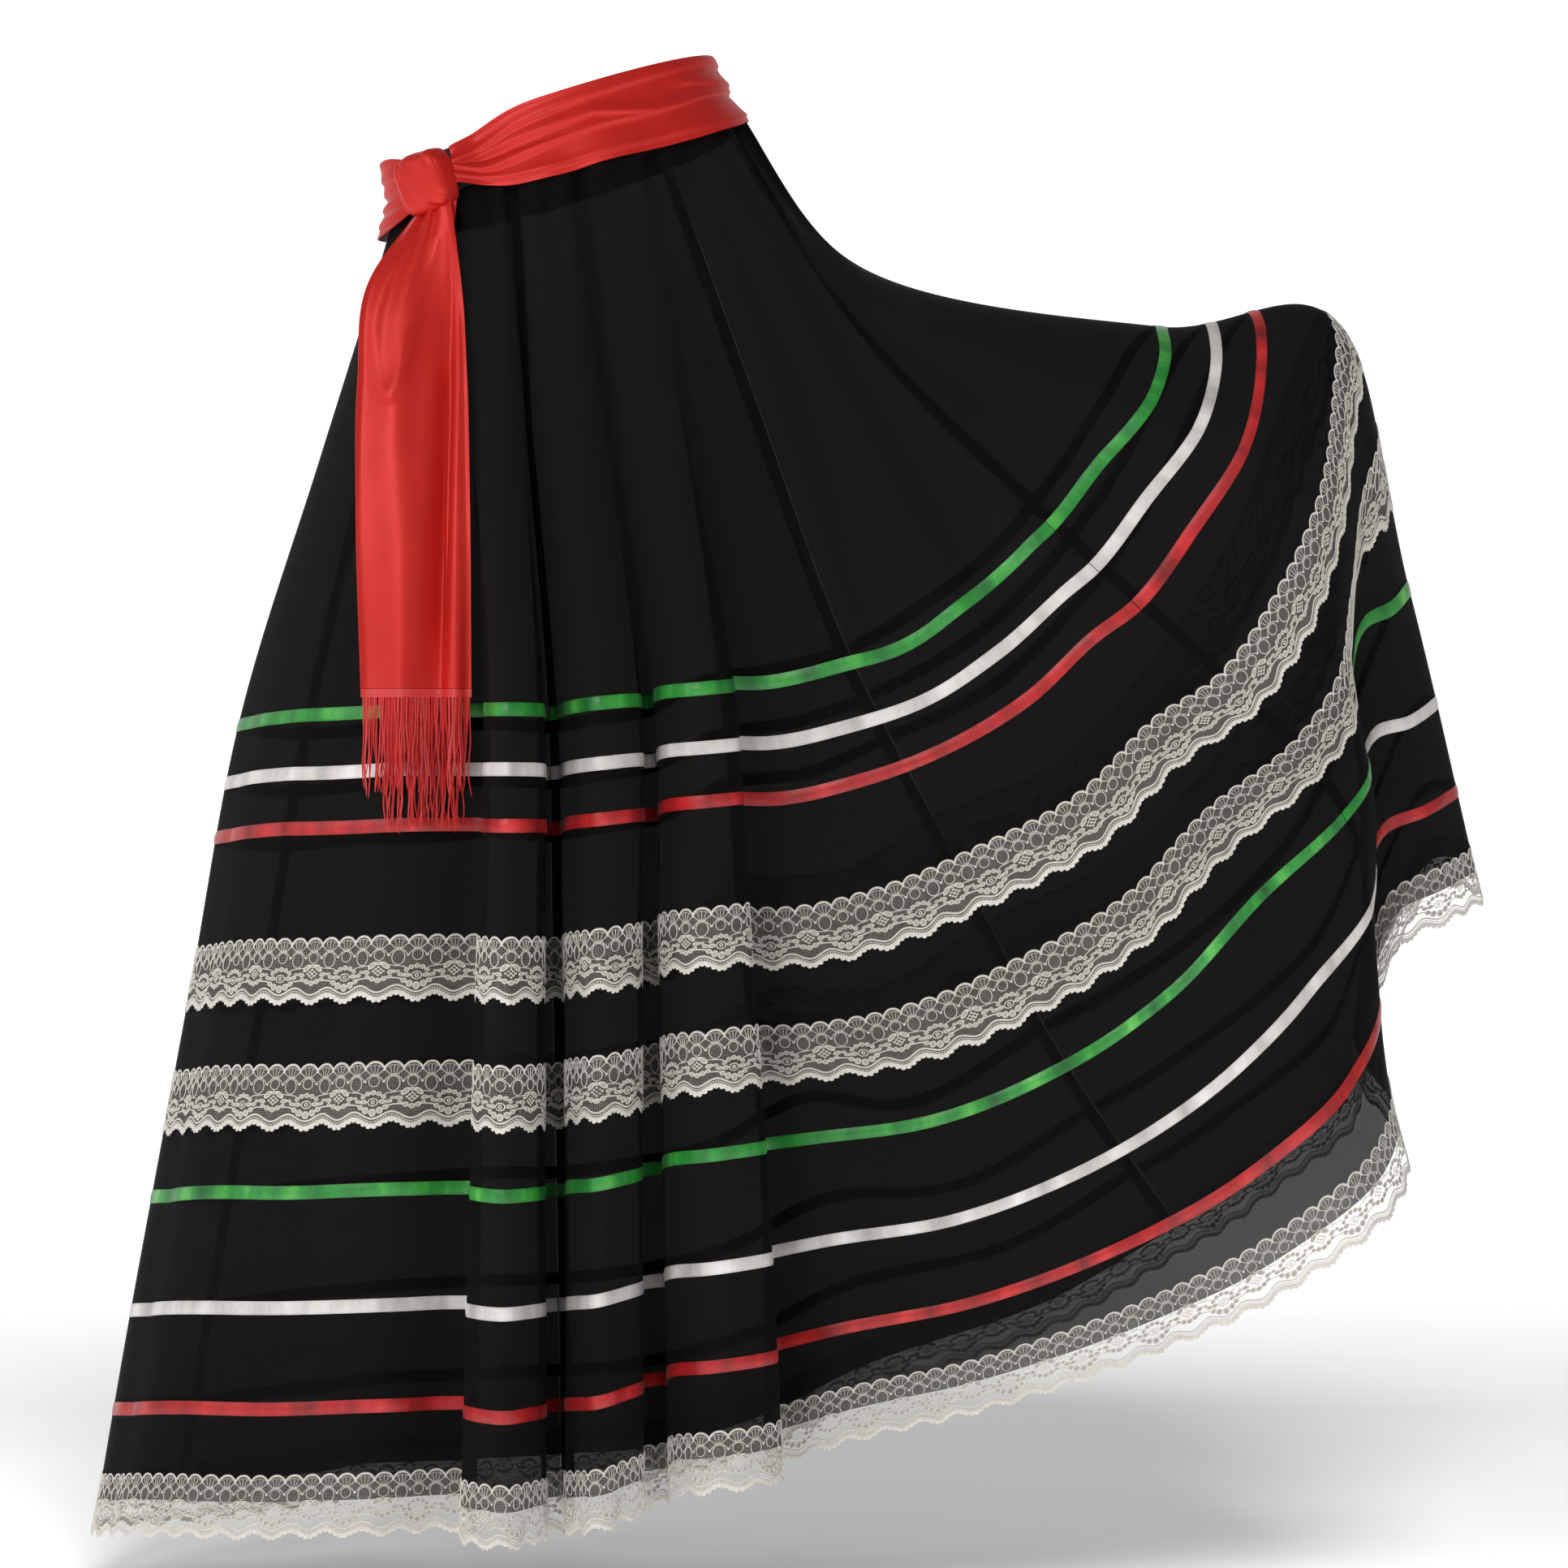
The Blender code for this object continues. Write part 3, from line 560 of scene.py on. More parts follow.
def new_material(name, base, roughness, **sockets):
    """A material and its shader, with the shader's plain sockets set."""
    made = bpy.data.materials.new(name)
    made.use_nodes = True
    shader = made.node_tree.nodes["Principled BSDF"]
    shader.inputs["Base Color"].default_value = base
    shader.inputs["Roughness"].default_value = roughness
    for socket, value in sockets.items():
        shader.inputs[socket.replace("_", " ")].default_value = value
    return made, shader


def add_node(made, kind, inputs=(), **settings):
    """A node with its settings; each input is (socket, value or another node's output)."""
    node = made.node_tree.nodes.new(kind)
    for key, value in settings.items():
        setattr(node, key, value)
    for socket, value in inputs:
        if isinstance(value, bpy.types.NodeSocket):
            made.node_tree.links.new(value, node.inputs[socket])
        else:
            node.inputs[socket].default_value = value
    return node


def link(made, output, socket):
    made.node_tree.links.new(output, socket)


def maths(made, operation, first, second=0.0, third=0.0):
    return add_node(
        made, "ShaderNodeMath", [(0, first), (1, second), (2, third)], operation=operation
    ).outputs[0]


def uv_of(made):
    """The two outputs of the UV in metres: along the cloth and down it."""
    uv = add_node(made, "ShaderNodeUVMap", uv_map="UVMap")
    split = add_node(made, "ShaderNodeSeparateXYZ", [("Vector", uv.outputs["UV"])])
    return uv.outputs["UV"], split.outputs["X"], split.outputs["Y"]


def noise(made, vector, scale, detail=3.0, stretch=None):
    if stretch:
        mapping = add_node(made, "ShaderNodeMapping", [("Vector", vector), ("Scale", stretch)])
        vector = mapping.outputs["Vector"]
    return add_node(
        made, "ShaderNodeTexNoise", [("Vector", vector), ("Scale", scale), ("Detail", detail)]
    ).outputs["Fac"]


def ramp(made, value, low, high, start=0.0, end=1.0):
    """The value carried from the range start to end onto low to high."""
    return add_node(
        made,
        "ShaderNodeMapRange",
        [("Value", value), ("From Min", start), ("From Max", end), ("To Min", low), ("To Max", high)],
    ).outputs["Result"]


def mixed_colour(made, share, first, second):
    node = add_node(made, "ShaderNodeMix", [("Factor", share)], data_type="RGBA")
    node.inputs["A"].default_value = first
    node.inputs["B"].default_value = second
    for socket in node.inputs:
        if socket.type == "RGBA" and socket.name == "A":
            socket.default_value = first
        if socket.type == "RGBA" and socket.name == "B":
            socket.default_value = second
    return [output for output in node.outputs if output.type == "RGBA"][0]


def bumped(made, shader, height, strength, distance):
    bump = add_node(
        made, "ShaderNodeBump", [("Height", height), ("Strength", strength), ("Distance", distance)]
    )
    link(made, bump.outputs["Normal"], shader.inputs["Normal"])


def weave(made, along, down, pitch):
    """The height of a plain weave, from 0 to 1, of this pitch in metres."""
    warp = maths(made, "SINE", maths(made, "MULTIPLY", along, 2 * math.pi / pitch))
    weft = maths(made, "SINE", maths(made, "MULTIPLY", down, 2 * math.pi / pitch))
    return ramp(made, maths(made, "MULTIPLY", warp, weft), 0.0, 1.0, -1.0, 1.0)


def voile_material(name, alpha):
    made, shader = new_material(
        name, colour(14, 11, 11), 0.85, Sheen_Weight=0.01, Sheen_Roughness=0.5, Specular_IOR_Level=0.07
    )
    uv, along, down = uv_of(made)
    threads = weave(made, along, down, 0.9 * MM)
    cloudy = noise(made, uv, 140.0, 4.0)
    grain = maths(made, "ADD", maths(made, "MULTIPLY", threads, 0.4), maths(made, "MULTIPLY", cloudy, 0.6))
    link(made, ramp(made, grain, alpha - 0.035, alpha + 0.035), shader.inputs["Alpha"])
    link(made, ramp(made, cloudy, 0.78, 0.92), shader.inputs["Roughness"])
    link(made, mixed_colour(made, grain, colour(9, 7, 7), colour(19, 15, 15)), shader.inputs["Base Color"])
    bumped(made, shader, grain, 0.25, 0.2 * MM)
    return made


def stitch_mask(made, along, across, edge, pitch, length, half_width):
    """1 on a line of stitches that lies at edge across the piece, and else 0."""
    near = maths(made, "LESS_THAN", maths(made, "ABSOLUTE", maths(made, "SUBTRACT", across, edge)), half_width)
    beat = maths(made, "FRACT", maths(made, "DIVIDE", along, pitch))
    return maths(made, "MULTIPLY", near, maths(made, "LESS_THAN", beat, length / pitch))


def ribbon_material(name, painted_shade_colour, middle, painted_highlight_colour, thread):
    """Satin ribbon: a painted sheen that comes and goes along it, as patches of painted shade and painted highlight in
    its colour, fine ribs, and a stitch line near each edge.
    """
    made, shader = new_material(
        name, middle, 0.36, Anisotropic=0.45, Sheen_Weight=0.04, Sheen_Roughness=0.35, Coat_Weight=0.05
    )
    made.node_tree.nodes["Principled BSDF"].inputs["Coat Roughness"].default_value = 0.3
    uv, along, across = uv_of(made)
    # Long patches along the ribbon carry painted sheen: painted shade, the ribbon's own colour and painted highlight in
    # turn. The same patches also vary the roughness.
    painted_sheen_patches = noise(made, uv, 1.0, 3.0, stretch=(38.0, 6.0, 1.0))
    streak = noise(made, uv, 1.0, 2.0, stretch=(220.0, 2600.0, 1.0))
    tone = maths(made, "ADD", maths(made, "MULTIPLY", painted_sheen_patches, 0.8), maths(made, "MULTIPLY", streak, 0.2))
    painted_shade = mixed_colour(made, ramp(made, tone, 0.0, 1.0, 0.36, 0.52), painted_shade_colour, middle)
    # lit is the painted highlight, mixed in over the painted shade.
    lit = add_node(made, "ShaderNodeMix", [("Factor", ramp(made, tone, 0.0, 1.0, 0.52, 0.68))], data_type="RGBA")
    link(made, painted_shade, [socket for socket in lit.inputs if socket.type == "RGBA"][0])
    [socket for socket in lit.inputs if socket.type == "RGBA"][1].default_value = painted_highlight_colour
    edge = RIBBON_WIDTH / 2 - 0.9 * MM
    upper = stitch_mask(made, along, across, -edge, 2.6 * MM, 1.9 * MM, 0.17 * MM)
    lower = stitch_mask(made, along, across, edge, 2.6 * MM, 1.9 * MM, 0.17 * MM)
    sewn = maths(made, "MAXIMUM", upper, lower)
    final = add_node(made, "ShaderNodeMix", [("Factor", sewn)], data_type="RGBA")
    link(made, [output for output in lit.outputs if output.type == "RGBA"][0],
         [socket for socket in final.inputs if socket.type == "RGBA"][0])
    [socket for socket in final.inputs if socket.type == "RGBA"][1].default_value = thread
    link(made, [output for output in final.outputs if output.type == "RGBA"][0], shader.inputs["Base Color"])
    link(made, ramp(made, tone, 0.5, 0.24), shader.inputs["Roughness"])
    ribs = maths(made, "SINE", maths(made, "MULTIPLY", along, 2 * math.pi / (0.5 * MM)))
    height = maths(made, "ADD", maths(made, "MULTIPLY", ribs, 0.25), maths(made, "MULTIPLY", sewn, 2.0))
    bumped(made, shader, maths(made, "ADD", height, maths(made, "MULTIPLY", streak, 1.5)), 0.35, 0.12 * MM)
    return made


def lace_thread_material():
    made, shader = new_material(
        "lace_thread", colour(232, 226, 216), 0.75, Sheen_Weight=0.1, Sheen_Roughness=0.5
    )
    uv, along, down = uv_of(made)
    twist = maths(made, "SINE", maths(made, "MULTIPLY", maths(made, "ADD", along, down), 2 * math.pi / (0.7 * MM)))
    worn = noise(made, uv, 260.0, 2.0)
    link(made, mixed_colour(made, worn, colour(205, 197, 186), colour(243, 239, 231)), shader.inputs["Base Color"])
    link(made, ramp(made, worn, 0.82, 0.66), shader.inputs["Roughness"])
    bumped(made, shader, twist, 0.5, 0.15 * MM)
    return made


def lace_woven_material():
    """The close weave inside each petal, duller than the thread round it."""
    made, shader = new_material("lace_woven", colour(180, 172, 162), 0.85, Sheen_Weight=0.1)
    uv, along, down = uv_of(made)
    threads = weave(made, along, down, 0.6 * MM)
    link(made, mixed_colour(made, threads, colour(150, 143, 134), colour(204, 197, 187)), shader.inputs["Base Color"])
    bumped(made, shader, threads, 0.6, 0.15 * MM)
    return made


def lace_net_material():
    """Fine net: hexagonal meshes of thin thread with open holes."""
    made, shader = new_material("lace_net", colour(225, 219, 209), 0.8, Sheen_Weight=0.1)
    uv, along, down = uv_of(made)
    cells = add_node(
        made,
        "ShaderNodeTexVoronoi",
        [("Vector", uv), ("Scale", 1 / (1.15 * MM)), ("Randomness", 0.35)],
        feature="DISTANCE_TO_EDGE",
    ).outputs["Distance"]
    threads = ramp(made, cells, 0.55, 0.0, 0.04, 0.12)
    cloudy = noise(made, uv, 180.0, 2.0)
    link(made, maths(made, "MULTIPLY", threads, ramp(made, cloudy, 0.7, 1.1)), shader.inputs["Alpha"])
    link(made, mixed_colour(made, cloudy, colour(205, 198, 188), colour(238, 233, 225)), shader.inputs["Base Color"])
    bumped(made, shader, threads, 0.4, 0.15 * MM)
    return made


def satin_material():
    """The sash: red satin, with fine threads along it and soft changes of tone."""
    made, shader = new_material(
        "sash_satin", colour(196, 34, 26), 0.42, Anisotropic=0.5, Sheen_Weight=0.03, Sheen_Roughness=0.3,
        Specular_IOR_Level=0.3, Metallic=0.2,
    )
    shader.inputs["Sheen Tint"].default_value = colour(255, 150, 140)
    uv, along, down = uv_of(made)
    cloudy = noise(made, uv, 26.0, 3.0)
    fibre = noise(made, uv, 1.0, 2.0, stretch=(3000.0, 260.0, 1.0))
    link(made, mixed_colour(made, cloudy, colour(184, 28, 21), colour(201, 39, 30)), shader.inputs["Base Color"])
    link(made, ramp(made, fibre, 0.5, 0.36), shader.inputs["Roughness"])
    bumped(made, shader, fibre, 0.15, 0.15 * MM)
    return made


def stitching_material():
    made, shader = new_material("sash_stitching", colour(150, 24, 24), 0.6)
    uv, along, down = uv_of(made)
    fuzz = noise(made, uv, 900.0, 2.0)
    link(made, mixed_colour(made, fuzz, colour(120, 18, 20), colour(176, 34, 32)), shader.inputs["Base Color"])
    bumped(made, shader, fuzz, 0.3, 0.1 * MM)
    return made


def fringe_material():
    made, shader = new_material(
        "fringe_thread", colour(190, 30, 32), 0.42, Anisotropic=0.5, Sheen_Weight=0.06, Sheen_Roughness=0.4
    )
    uv, along, down = uv_of(made)
    worn = noise(made, uv, 1.0, 2.0, stretch=(900.0, 60.0, 1.0))
    twist = maths(made, "SINE", maths(made, "MULTIPLY", down, 2 * math.pi / (1.1 * MM)))
    link(made, mixed_colour(made, worn, colour(168, 22, 26), colour(222, 48, 44)), shader.inputs["Base Color"])
    bumped(made, shader, twist, 0.4, 0.15 * MM)
    return made


def elastic_material():
    made, shader = new_material("elastic", colour(24, 22, 22), 0.85, Sheen_Weight=0.2)
    uv, along, down = uv_of(made)
    ribs = maths(made, "SINE", maths(made, "MULTIPLY", down, 2 * math.pi / (1.6 * MM)))
    knit = maths(made, "SINE", maths(made, "MULTIPLY", along, 2 * math.pi / (1.1 * MM)))
    height = maths(made, "ADD", ribs, maths(made, "MULTIPLY", knit, 0.5))
    link(made, mixed_colour(made, ramp(made, height, 0, 1, -1.5, 1.5), colour(15, 14, 14), colour(36, 33, 33)),
         shader.inputs["Base Color"])
    bumped(made, shader, height, 0.6, 0.3 * MM)
    return made


# The skirt


def panel_columns(first_fold, last_fold):
    first = FOLD_NAMES.index(first_fold) * COLUMNS_A_FOLD
    last = FOLD_NAMES.index(last_fold) * COLUMNS_A_FOLD
    if last < first:
        last += COLUMN_COUNT
    return first, last


def make_panels(cloth, finish):
    """The four gores. The UV of each is its flat cut: metres from its middle line, and down."""
    made = {}
    rows = np.arange(2, 2 + PANEL_ROWS)
    for name, first_fold, last_fold, width, length, area in PANELS:
        first, last = panel_columns(first_fold, last_fold)
        picked = np.arange(first, last + 1) % COLUMN_COUNT
        grid = cloth.grid[rows][:, picked].copy()
        normal = cloth.normal[rows][:, picked]
        for end, inner in ((0, 1), (-1, -2)):
            step = grid[:, inner] - grid[:, end]
            grid[:, end] += step * (SEAM_HALF_GAP / np.linalg.norm(step, axis=1, keepdims=True))
        steps = np.linalg.norm(np.diff(grid, axis=1), axis=2)
        along = np.concatenate([np.zeros((len(rows), 1)), np.cumsum(steps, axis=1)], axis=1)
        along -= along[:, -1:] / 2
        uv = np.stack([along, np.broadcast_to(cloth.down[rows][:, None], along.shape)], axis=-1)
        half = normal * CLOTH_THICK / 2
        panel = wall_object(f"{name}_cloth", grid + half, grid - half, finish, uv)
        set_down(panel, [name])
        made[name] = panel
    return made


def make_seams(cloth, finish):
    """The seam allowance of each seam, pressed to one side inside the cloth."""
    half = CLOTH_THICK / 2
    down = cloth.down[2 : 2 + PANEL_ROWS]
    for name, first_fold, *rest in PANELS:
        middle = FOLD_NAMES.index(first_fold)
        spacing = np.linalg.norm(
            cloth.at(np.full(PANEL_ROWS, middle + 0.5), down) - cloth.at(np.full(PANEL_ROWS, middle), down), axis=1
        )
        across = np.linspace(0, 1, 4)
        u = middle + across[None, :] * (SEAM_ALLOWANCE / spacing)[:, None] * 0.5
        depth = np.broadcast_to(down[:, None], u.shape)
        outer = cloth.at(u, depth, np.full(u.shape, -half - 0.1 * MM))
        inner = cloth.at(u, depth, np.full(u.shape, -half - 0.4 * MM))
        uv = np.stack([np.broadcast_to(across * SEAM_ALLOWANCE, u.shape), depth], axis=-1)
        seam = wall_object(f"seam_allowance_{name}", outer, inner, finish, uv)
        set_down(seam, [])


def make_ribbons(cloth, finishes):
    """Satin ribbons, one length on each gore, with small puckers from the sewing."""
    across = np.linspace(-1, 1, 5)
    crown = np.array([0.10, 0.22, 0.26, 0.22, 0.10]) * MM
    for index, (node, middle, finish_name) in enumerate(RIBBONS):
        length, places = cloth.way_round(middle)
        parts = []
        for name, first_fold, last_fold, *rest in PANELS:
            first, last = panel_columns(first_fold, last_fold)
            count = (last - first) * 2 + 1
            u = np.linspace(first, last, count) / COLUMNS_A_FOLD
            gap = 0.4 * MM / np.linalg.norm(cloth.at(u[1:2], middle)[0] - cloth.at(u[:1], middle)[0])
            u[0] += (u[1] - u[0]) * gap
            u[-1] -= (u[-1] - u[-2]) * gap
            turns = u // FOLD_COUNT
            along = np.interp(u % FOLD_COUNT, places, length) + turns * length[-1]
            along[-1] = max(along[-1], along[-2])
            pucker = 0.16 * MM * (np.sin(along / 0.011 + index * 2) + np.sin(along / 0.0047 + index))
            rows_down = middle + across[:, None] * RIBBON_WIDTH / 2 + 0.12 * MM * np.sin(along / 0.021)[None, :]
            u_grid = np.broadcast_to(u, rows_down.shape)
            base = CLOTH_THICK / 2 + 0.12 * MM
            bulge = (0.34 * MM + pucker)[None, :] * (1 - across[:, None] ** 2)
            outer = cloth.at(u_grid, rows_down, base + crown[:, None] + np.maximum(bulge, 0))
            inner = cloth.at(u_grid, rows_down, np.full(rows_down.shape, base - 0.04 * MM))
            uv = np.stack([np.broadcast_to(along, rows_down.shape),
                           np.broadcast_to((across * RIBBON_WIDTH / 2)[:, None], rows_down.shape)], axis=-1)
            points, faces = wall_parts(outer, inner, False)
            parts.append((points, faces, np.concatenate([uv.reshape(-1, 2)] * 2)))
        points, faces, uv = joined_parts(parts)
        ribbon = make_object(f"{node}_satin", points, faces, [finishes[finish_name]], uv)
        set_down(ribbon, [node])


# The lace, drawn flat in millimetres: s runs along the band and t down it


ARCH = 13.5
REPEAT = 4 * ARCH
SCALLOP = 2 * ARCH
PATTERN_WIDTH = 50.0
THREAD = 0
WOVEN = 1
PETAL_RINGS = (
    # size, height
    (1.0, 0.0),
    (0.84, 0.5),
    (0.66, 0.2),
)
PETAL_MIDDLE = 0.32
FLOWER_AT = (0.0, 30.5)
FLOWER_PETALS = (
    # s and t from the middle of the flower, half sizes, turn in degrees
    (0.0, -7.0, 2.1, 1.9, 0),
    (4.0, -6.2, 2.0, 1.8, 15),
    (7.2, -4.0, 2.0, 1.6, 30),
    (6.6, -0.3, 2.6, 1.7, 0),
    (11.0, -0.6, 2.6, 1.5, -8),
    (8.9, 3.6, 2.3, 2.0, -20),
    (4.9, 6.0, 2.5, 2.7, -15),
    (0.0, 7.6, 2.6, 3.0, 0),
)
LEAF_AT = (2 * ARCH, 27.0)
LEAF_PETALS = (
    # s and t from the middle of the motif, half sizes, turn in degrees
    (0.0, -5.8, 2.2, 1.5, 0),
    (4.8, -4.2, 4.0, 2.1, 38),
    (9.0, 0.6, 2.9, 1.7, -10),
    (8.0, 4.1, 2.0, 1.5, -20),
    (4.3, 5.6, 2.3, 2.0, -10),
    (0.0, 6.8, 2.4, 2.1, 0),
)
LATTICE = (-1.9, 0.0, 1.9)


def oval(s, t, half_s, half_t, count, turn=0.0):
    """A closed line of points round an oval, which turn slants, in degrees; the last point is the first."""
    angles = np.linspace(0, 2 * math.pi, count + 1)
    slant = math.radians(turn)
    across = half_s * np.cos(angles)
    down = half_t * np.sin(angles)
    return np.stack([s + across * math.cos(slant) - down * math.sin(slant),
                     t + across * math.sin(slant) + down * math.cos(slant)], 1)


class Pattern:
    """A flat mesh of one repeat: points (s, t, height) in millimetres, faces, and the finish of each face."""

    def __init__(self):
        self.points = []
        self.faces = []
        self.finishes = []

    def face(self, corners, finish=THREAD):
        self.faces.append(tuple(corners))
        self.finishes.append(finish)

    def thread(self, line, width, height=0.4):
        """A raised thread along a line of (s, t) points."""
        line = np.array(line, float)
        heading = np.gradient(line, axis=0)
        heading /= np.linalg.norm(heading, axis=1, keepdims=True)
        side = np.stack([-heading[:, 1], heading[:, 0]], axis=1) * width / 2
        start = len(self.points)
        for place, off in zip(line, side):
            self.points += [(*(place - off), 0.0), (*place, height), (*(place + off), 0.0)]
        for at in range(len(line) - 1):
            here = start + 3 * at
            for first, second in ((0, 1), (1, 2)):
                self.face((here + first, here + second, here + 3 + second, here + 3 + first))

    def knot(self, s, t, half_s, half_t, height=0.5):
        """A small raised dot of thread."""
        outline = oval(s, t, half_s, half_t, 7)[:-1]
        start = len(self.points)
        self.points += [(*place, 0.0) for place in outline]
        self.points.append((s, t, height))
        count = len(outline)
        for at in range(count):
            self.face((start + at, start + (at + 1) % count, start + count))

    def petal(self, s, t, half_s, half_t, turn=0.0, count=9):
        """A raised rim of thread round a closely woven middle."""
        start = len(self.points)
        for size, height in PETAL_RINGS:
            ring_points = oval(s, t, half_s * size, half_t * size, count, turn)[:-1]
            self.points += [(*place, height) for place in ring_points]
        centre = len(self.points)
        self.points.append((s, t, PETAL_MIDDLE))
        inner = centre - count
        for at in range(count):
            after = (at + 1) % count
            for low in (start, start + count):
                self.face((low + at, low + after, low + count + after, low + count + at))
            self.face((inner + at, inner + after, centre), WOVEN)

    def petals(self, middle, table):
        """The petals of a motif, each off the middle line on both sides."""
        for s, t, half_s, half_t, turn in table:
            for side in (-1, 1) if s else (1,):
                self.petal(middle[0] + side * s, middle[1] + t, half_s, half_t, side * turn)


def scallop(s):
    """How much lower the wavy lines lie at s: lowest under each motif."""
    return 2.6 * np.cos(2 * math.pi * np.asarray(s) / SCALLOP)


def arch_top(s):
    """The upper edge of the lace at s."""
    share = (np.asarray(s) / ARCH + 0.5) % 1 - 0.5
    return 0.9 + 4.6 * (2 * np.abs(share)) ** 2.4


def lace_bottom(s):
    return 46.9 + scallop(s)


def draw_arches(pattern):
    """The scalloped upper edge, a fan of net under each arch, and the bar and the round mesh below it."""
    for number in range(-2, 2):
        middle = number * ARCH
        s = np.linspace(middle - ARCH / 2, middle + ARCH / 2, 13)
        pattern.thread(np.stack([s, arch_top(s)], 1), 1.6, 0.55)
        s = np.linspace(middle - 4.4, middle + 4.4, 7)
        pattern.thread(np.stack([s, arch_top(s) + 2.2], 1), 0.4)
        for lean in (-1, 0, 1):
            pattern.thread([(middle + lean * 1.6, 9.4), (middle + lean * 3.0, 3.2 + abs(lean))], 0.4)
        pattern.petal(middle, 10.4, 2.9, 0.95)
        pattern.knot(middle + ARCH / 2, 6.2, 1.0, 1.3)
        pattern.knot(middle + ARCH / 2, 15.4, 1.2, 0.8)
        for side in (-1, 1):
            pattern.thread([(middle + side * ARCH / 2, 6.4), (middle + side * 2.6, 10.0)], 0.6)
            pattern.thread([(middle + side * 2.7, 10.9), (middle + side * ARCH / 2, 15.2)], 0.6)
        if number % 2:
            pattern.thread(oval(middle, 16.9, 4.5, 5.6, 16), 0.65)
        else:
            pattern.thread(oval(middle, 15.2, 3.8, 4.0, 12), 0.6)


def draw_flower(pattern):
    s, t = FLOWER_AT
    pattern.thread(oval(s, t, 1.15, 1.15, 8), 0.9, 0.6)
    pattern.thread(oval(s, t, 3.5, 2.7, 14), 0.85, 0.5)
    pattern.petals(FLOWER_AT, FLOWER_PETALS)


def draw_leaf(pattern):
    """A diamond of lattice among leaves."""
    s, t = LEAF_AT
    for off in LATTICE:
        pattern.thread([(s + off - 2.6, t + off * 0.8 + 2.1), (s + off + 2.6, t + off * 0.8 - 2.1)], 0.7)
        pattern.thread([(s + off - 2.6, t - off * 0.8 - 2.1), (s + off + 2.6, t - off * 0.8 + 2.1)], 0.7)
    pattern.petals(LEAF_AT, LEAF_PETALS)


def draw_vines(pattern):
    """What joins the motifs, on both sides of each large mesh."""
    for side in (-1, 1):
        pattern.petal(side * ARCH, 27.4, 1.9, 1.2)
        pattern.thread([(side * x, t) for x, t in ((8.6, 34.2), (11.0, 32.9), (13.5, 32.2), (19.5, 31.8))], 1.0)
        pattern.thread([(side * x, t) for x, t in ((7.2, 25.0), (10.0, 23.7), (13.5, 23.3), (19.5, 22.6))], 0.7)


def draw_waves(pattern):
    """The wavy thread, the ladder and the thick lower edge with its picots."""
    s = np.linspace(-REPEAT / 2, REPEAT / 2, 29)
    for above, width, height in ((6.9, 1.4, 0.5), (4.9, 0.5, 0.35), (1.9, 2.9, 0.55)):
        pattern.thread(np.stack([s, lace_bottom(s) - above], 1), width, height)
    rungs = 30
    for number in range(rungs):
        place = -REPEAT / 2 + (number + 0.5) * REPEAT / rungs
        bottom = float(lace_bottom(place))
        pattern.thread([(place, bottom - 4.9), (place, bottom - 3.2)], 0.6)
    picots = 14
    for number in range(picots):
        place = -REPEAT / 2 + (number + 0.5) * REPEAT / picots
        pattern.knot(place, float(lace_bottom(place)) - 0.4, 1.8, 1.3)


def lace_pattern():
    pattern = Pattern()
    draw_arches(pattern)
    draw_flower(pattern)
    draw_leaf(pattern)
    draw_vines(pattern)
    draw_waves(pattern)
    return np.array(pattern.points), pattern.faces, pattern.finishes


def make_lace(cloth, node, top, width, pattern, thread_finishes, net_finish):
    """One lace: the raised threads of its pattern, on a sheet of fine net cut to its scalloped edges."""
    points, faces, face_finishes = pattern
    length, places = cloth.way_round(top + width / 2)
    repeats = round(float(length[-1]) / (REPEAT * MM))
    stretch = length[-1] / (repeats * REPEAT)
    scale = width / (PATTERN_WIDTH * MM)
    base = CLOTH_THICK / 2 + 0.3 * MM
    offsets = np.repeat(np.arange(repeats) * REPEAT, len(points))
    s = np.tile(points[:, 0], repeats) + offsets
    t = np.tile(points[:, 1], repeats)
    out = base + np.tile(points[:, 2], repeats) * MM
    u = np.interp((s * stretch) % length[-1], length, places)
    placed = cloth.at(u, top + t * scale * MM, out)
    all_faces = []
    for number in range(repeats):
        start = number * len(points)
        all_faces += [tuple(corner + start for corner in face) for face in faces]
    uv = np.stack([s * stretch, t * scale * MM], 1)
    threads = make_object(f"{node}_pattern", placed, all_faces, thread_finishes, uv,
                          finish_of_face=face_finishes * repeats)
    set_down(threads, [node])

    per_arch = 8
    columns = repeats * 4 * per_arch
    s = np.arange(columns) * ARCH / per_arch
    rows = np.linspace(0, 1, 6)
    t = arch_top(s)[None, :] * (1 - rows[:, None]) + lace_bottom(s)[None, :] * rows[:, None]
    u = np.broadcast_to(np.interp((s * stretch) % length[-1], length, places), t.shape)
    grid = cloth.at(u, top + t * scale * MM, np.full(t.shape, base - 0.1 * MM))
    uv = np.stack([np.broadcast_to(s * stretch, t.shape), t * scale * MM], -1).reshape(-1, 2)
    net = make_object(f"{node}_net", grid.reshape(-1, 3), grid_faces(len(rows), columns, True), [net_finish], uv)
    set_down(net, [])


def make_waistband(cloth, finish):
    """The elastic band in which the cloth is gathered."""
    u = np.arange(COLUMN_COUNT * 2) / (COLUMNS_A_FOLD * 2)
    waist, bottom = cloth_points(u, (0.0, CLOTH_TOP - 1.2 * MM))
    rise = waist_frame(0, 0, WAISTBAND_UP)
    rows = [waist + rise * share for share in (1.0, 0.75, 0.5, 0.25, 0.0)] + [bottom]
    rows = np.array(rows)
    normal = outward(rows, closed=True)
    ribs = 0.35 * MM * np.sin(2 * math.pi * u * 2)
    half = 0.7 * MM
    outer = rows + normal * (half + ribs)[None, :, None]
    inner = rows - normal * (half - ribs)[None, :, None]
    along = np.broadcast_to(ring_length(waist)[:-1], rows.shape[:2])
    down = np.broadcast_to(np.array([0, 5, 10, 15, 20, 31])[:, None] * MM, rows.shape[:2])
    band = wall_object("waistband_elastic", outer, inner, finish, np.stack([along, down], -1), closed=True)
    set_down(band, ["waistband"])


# The sash


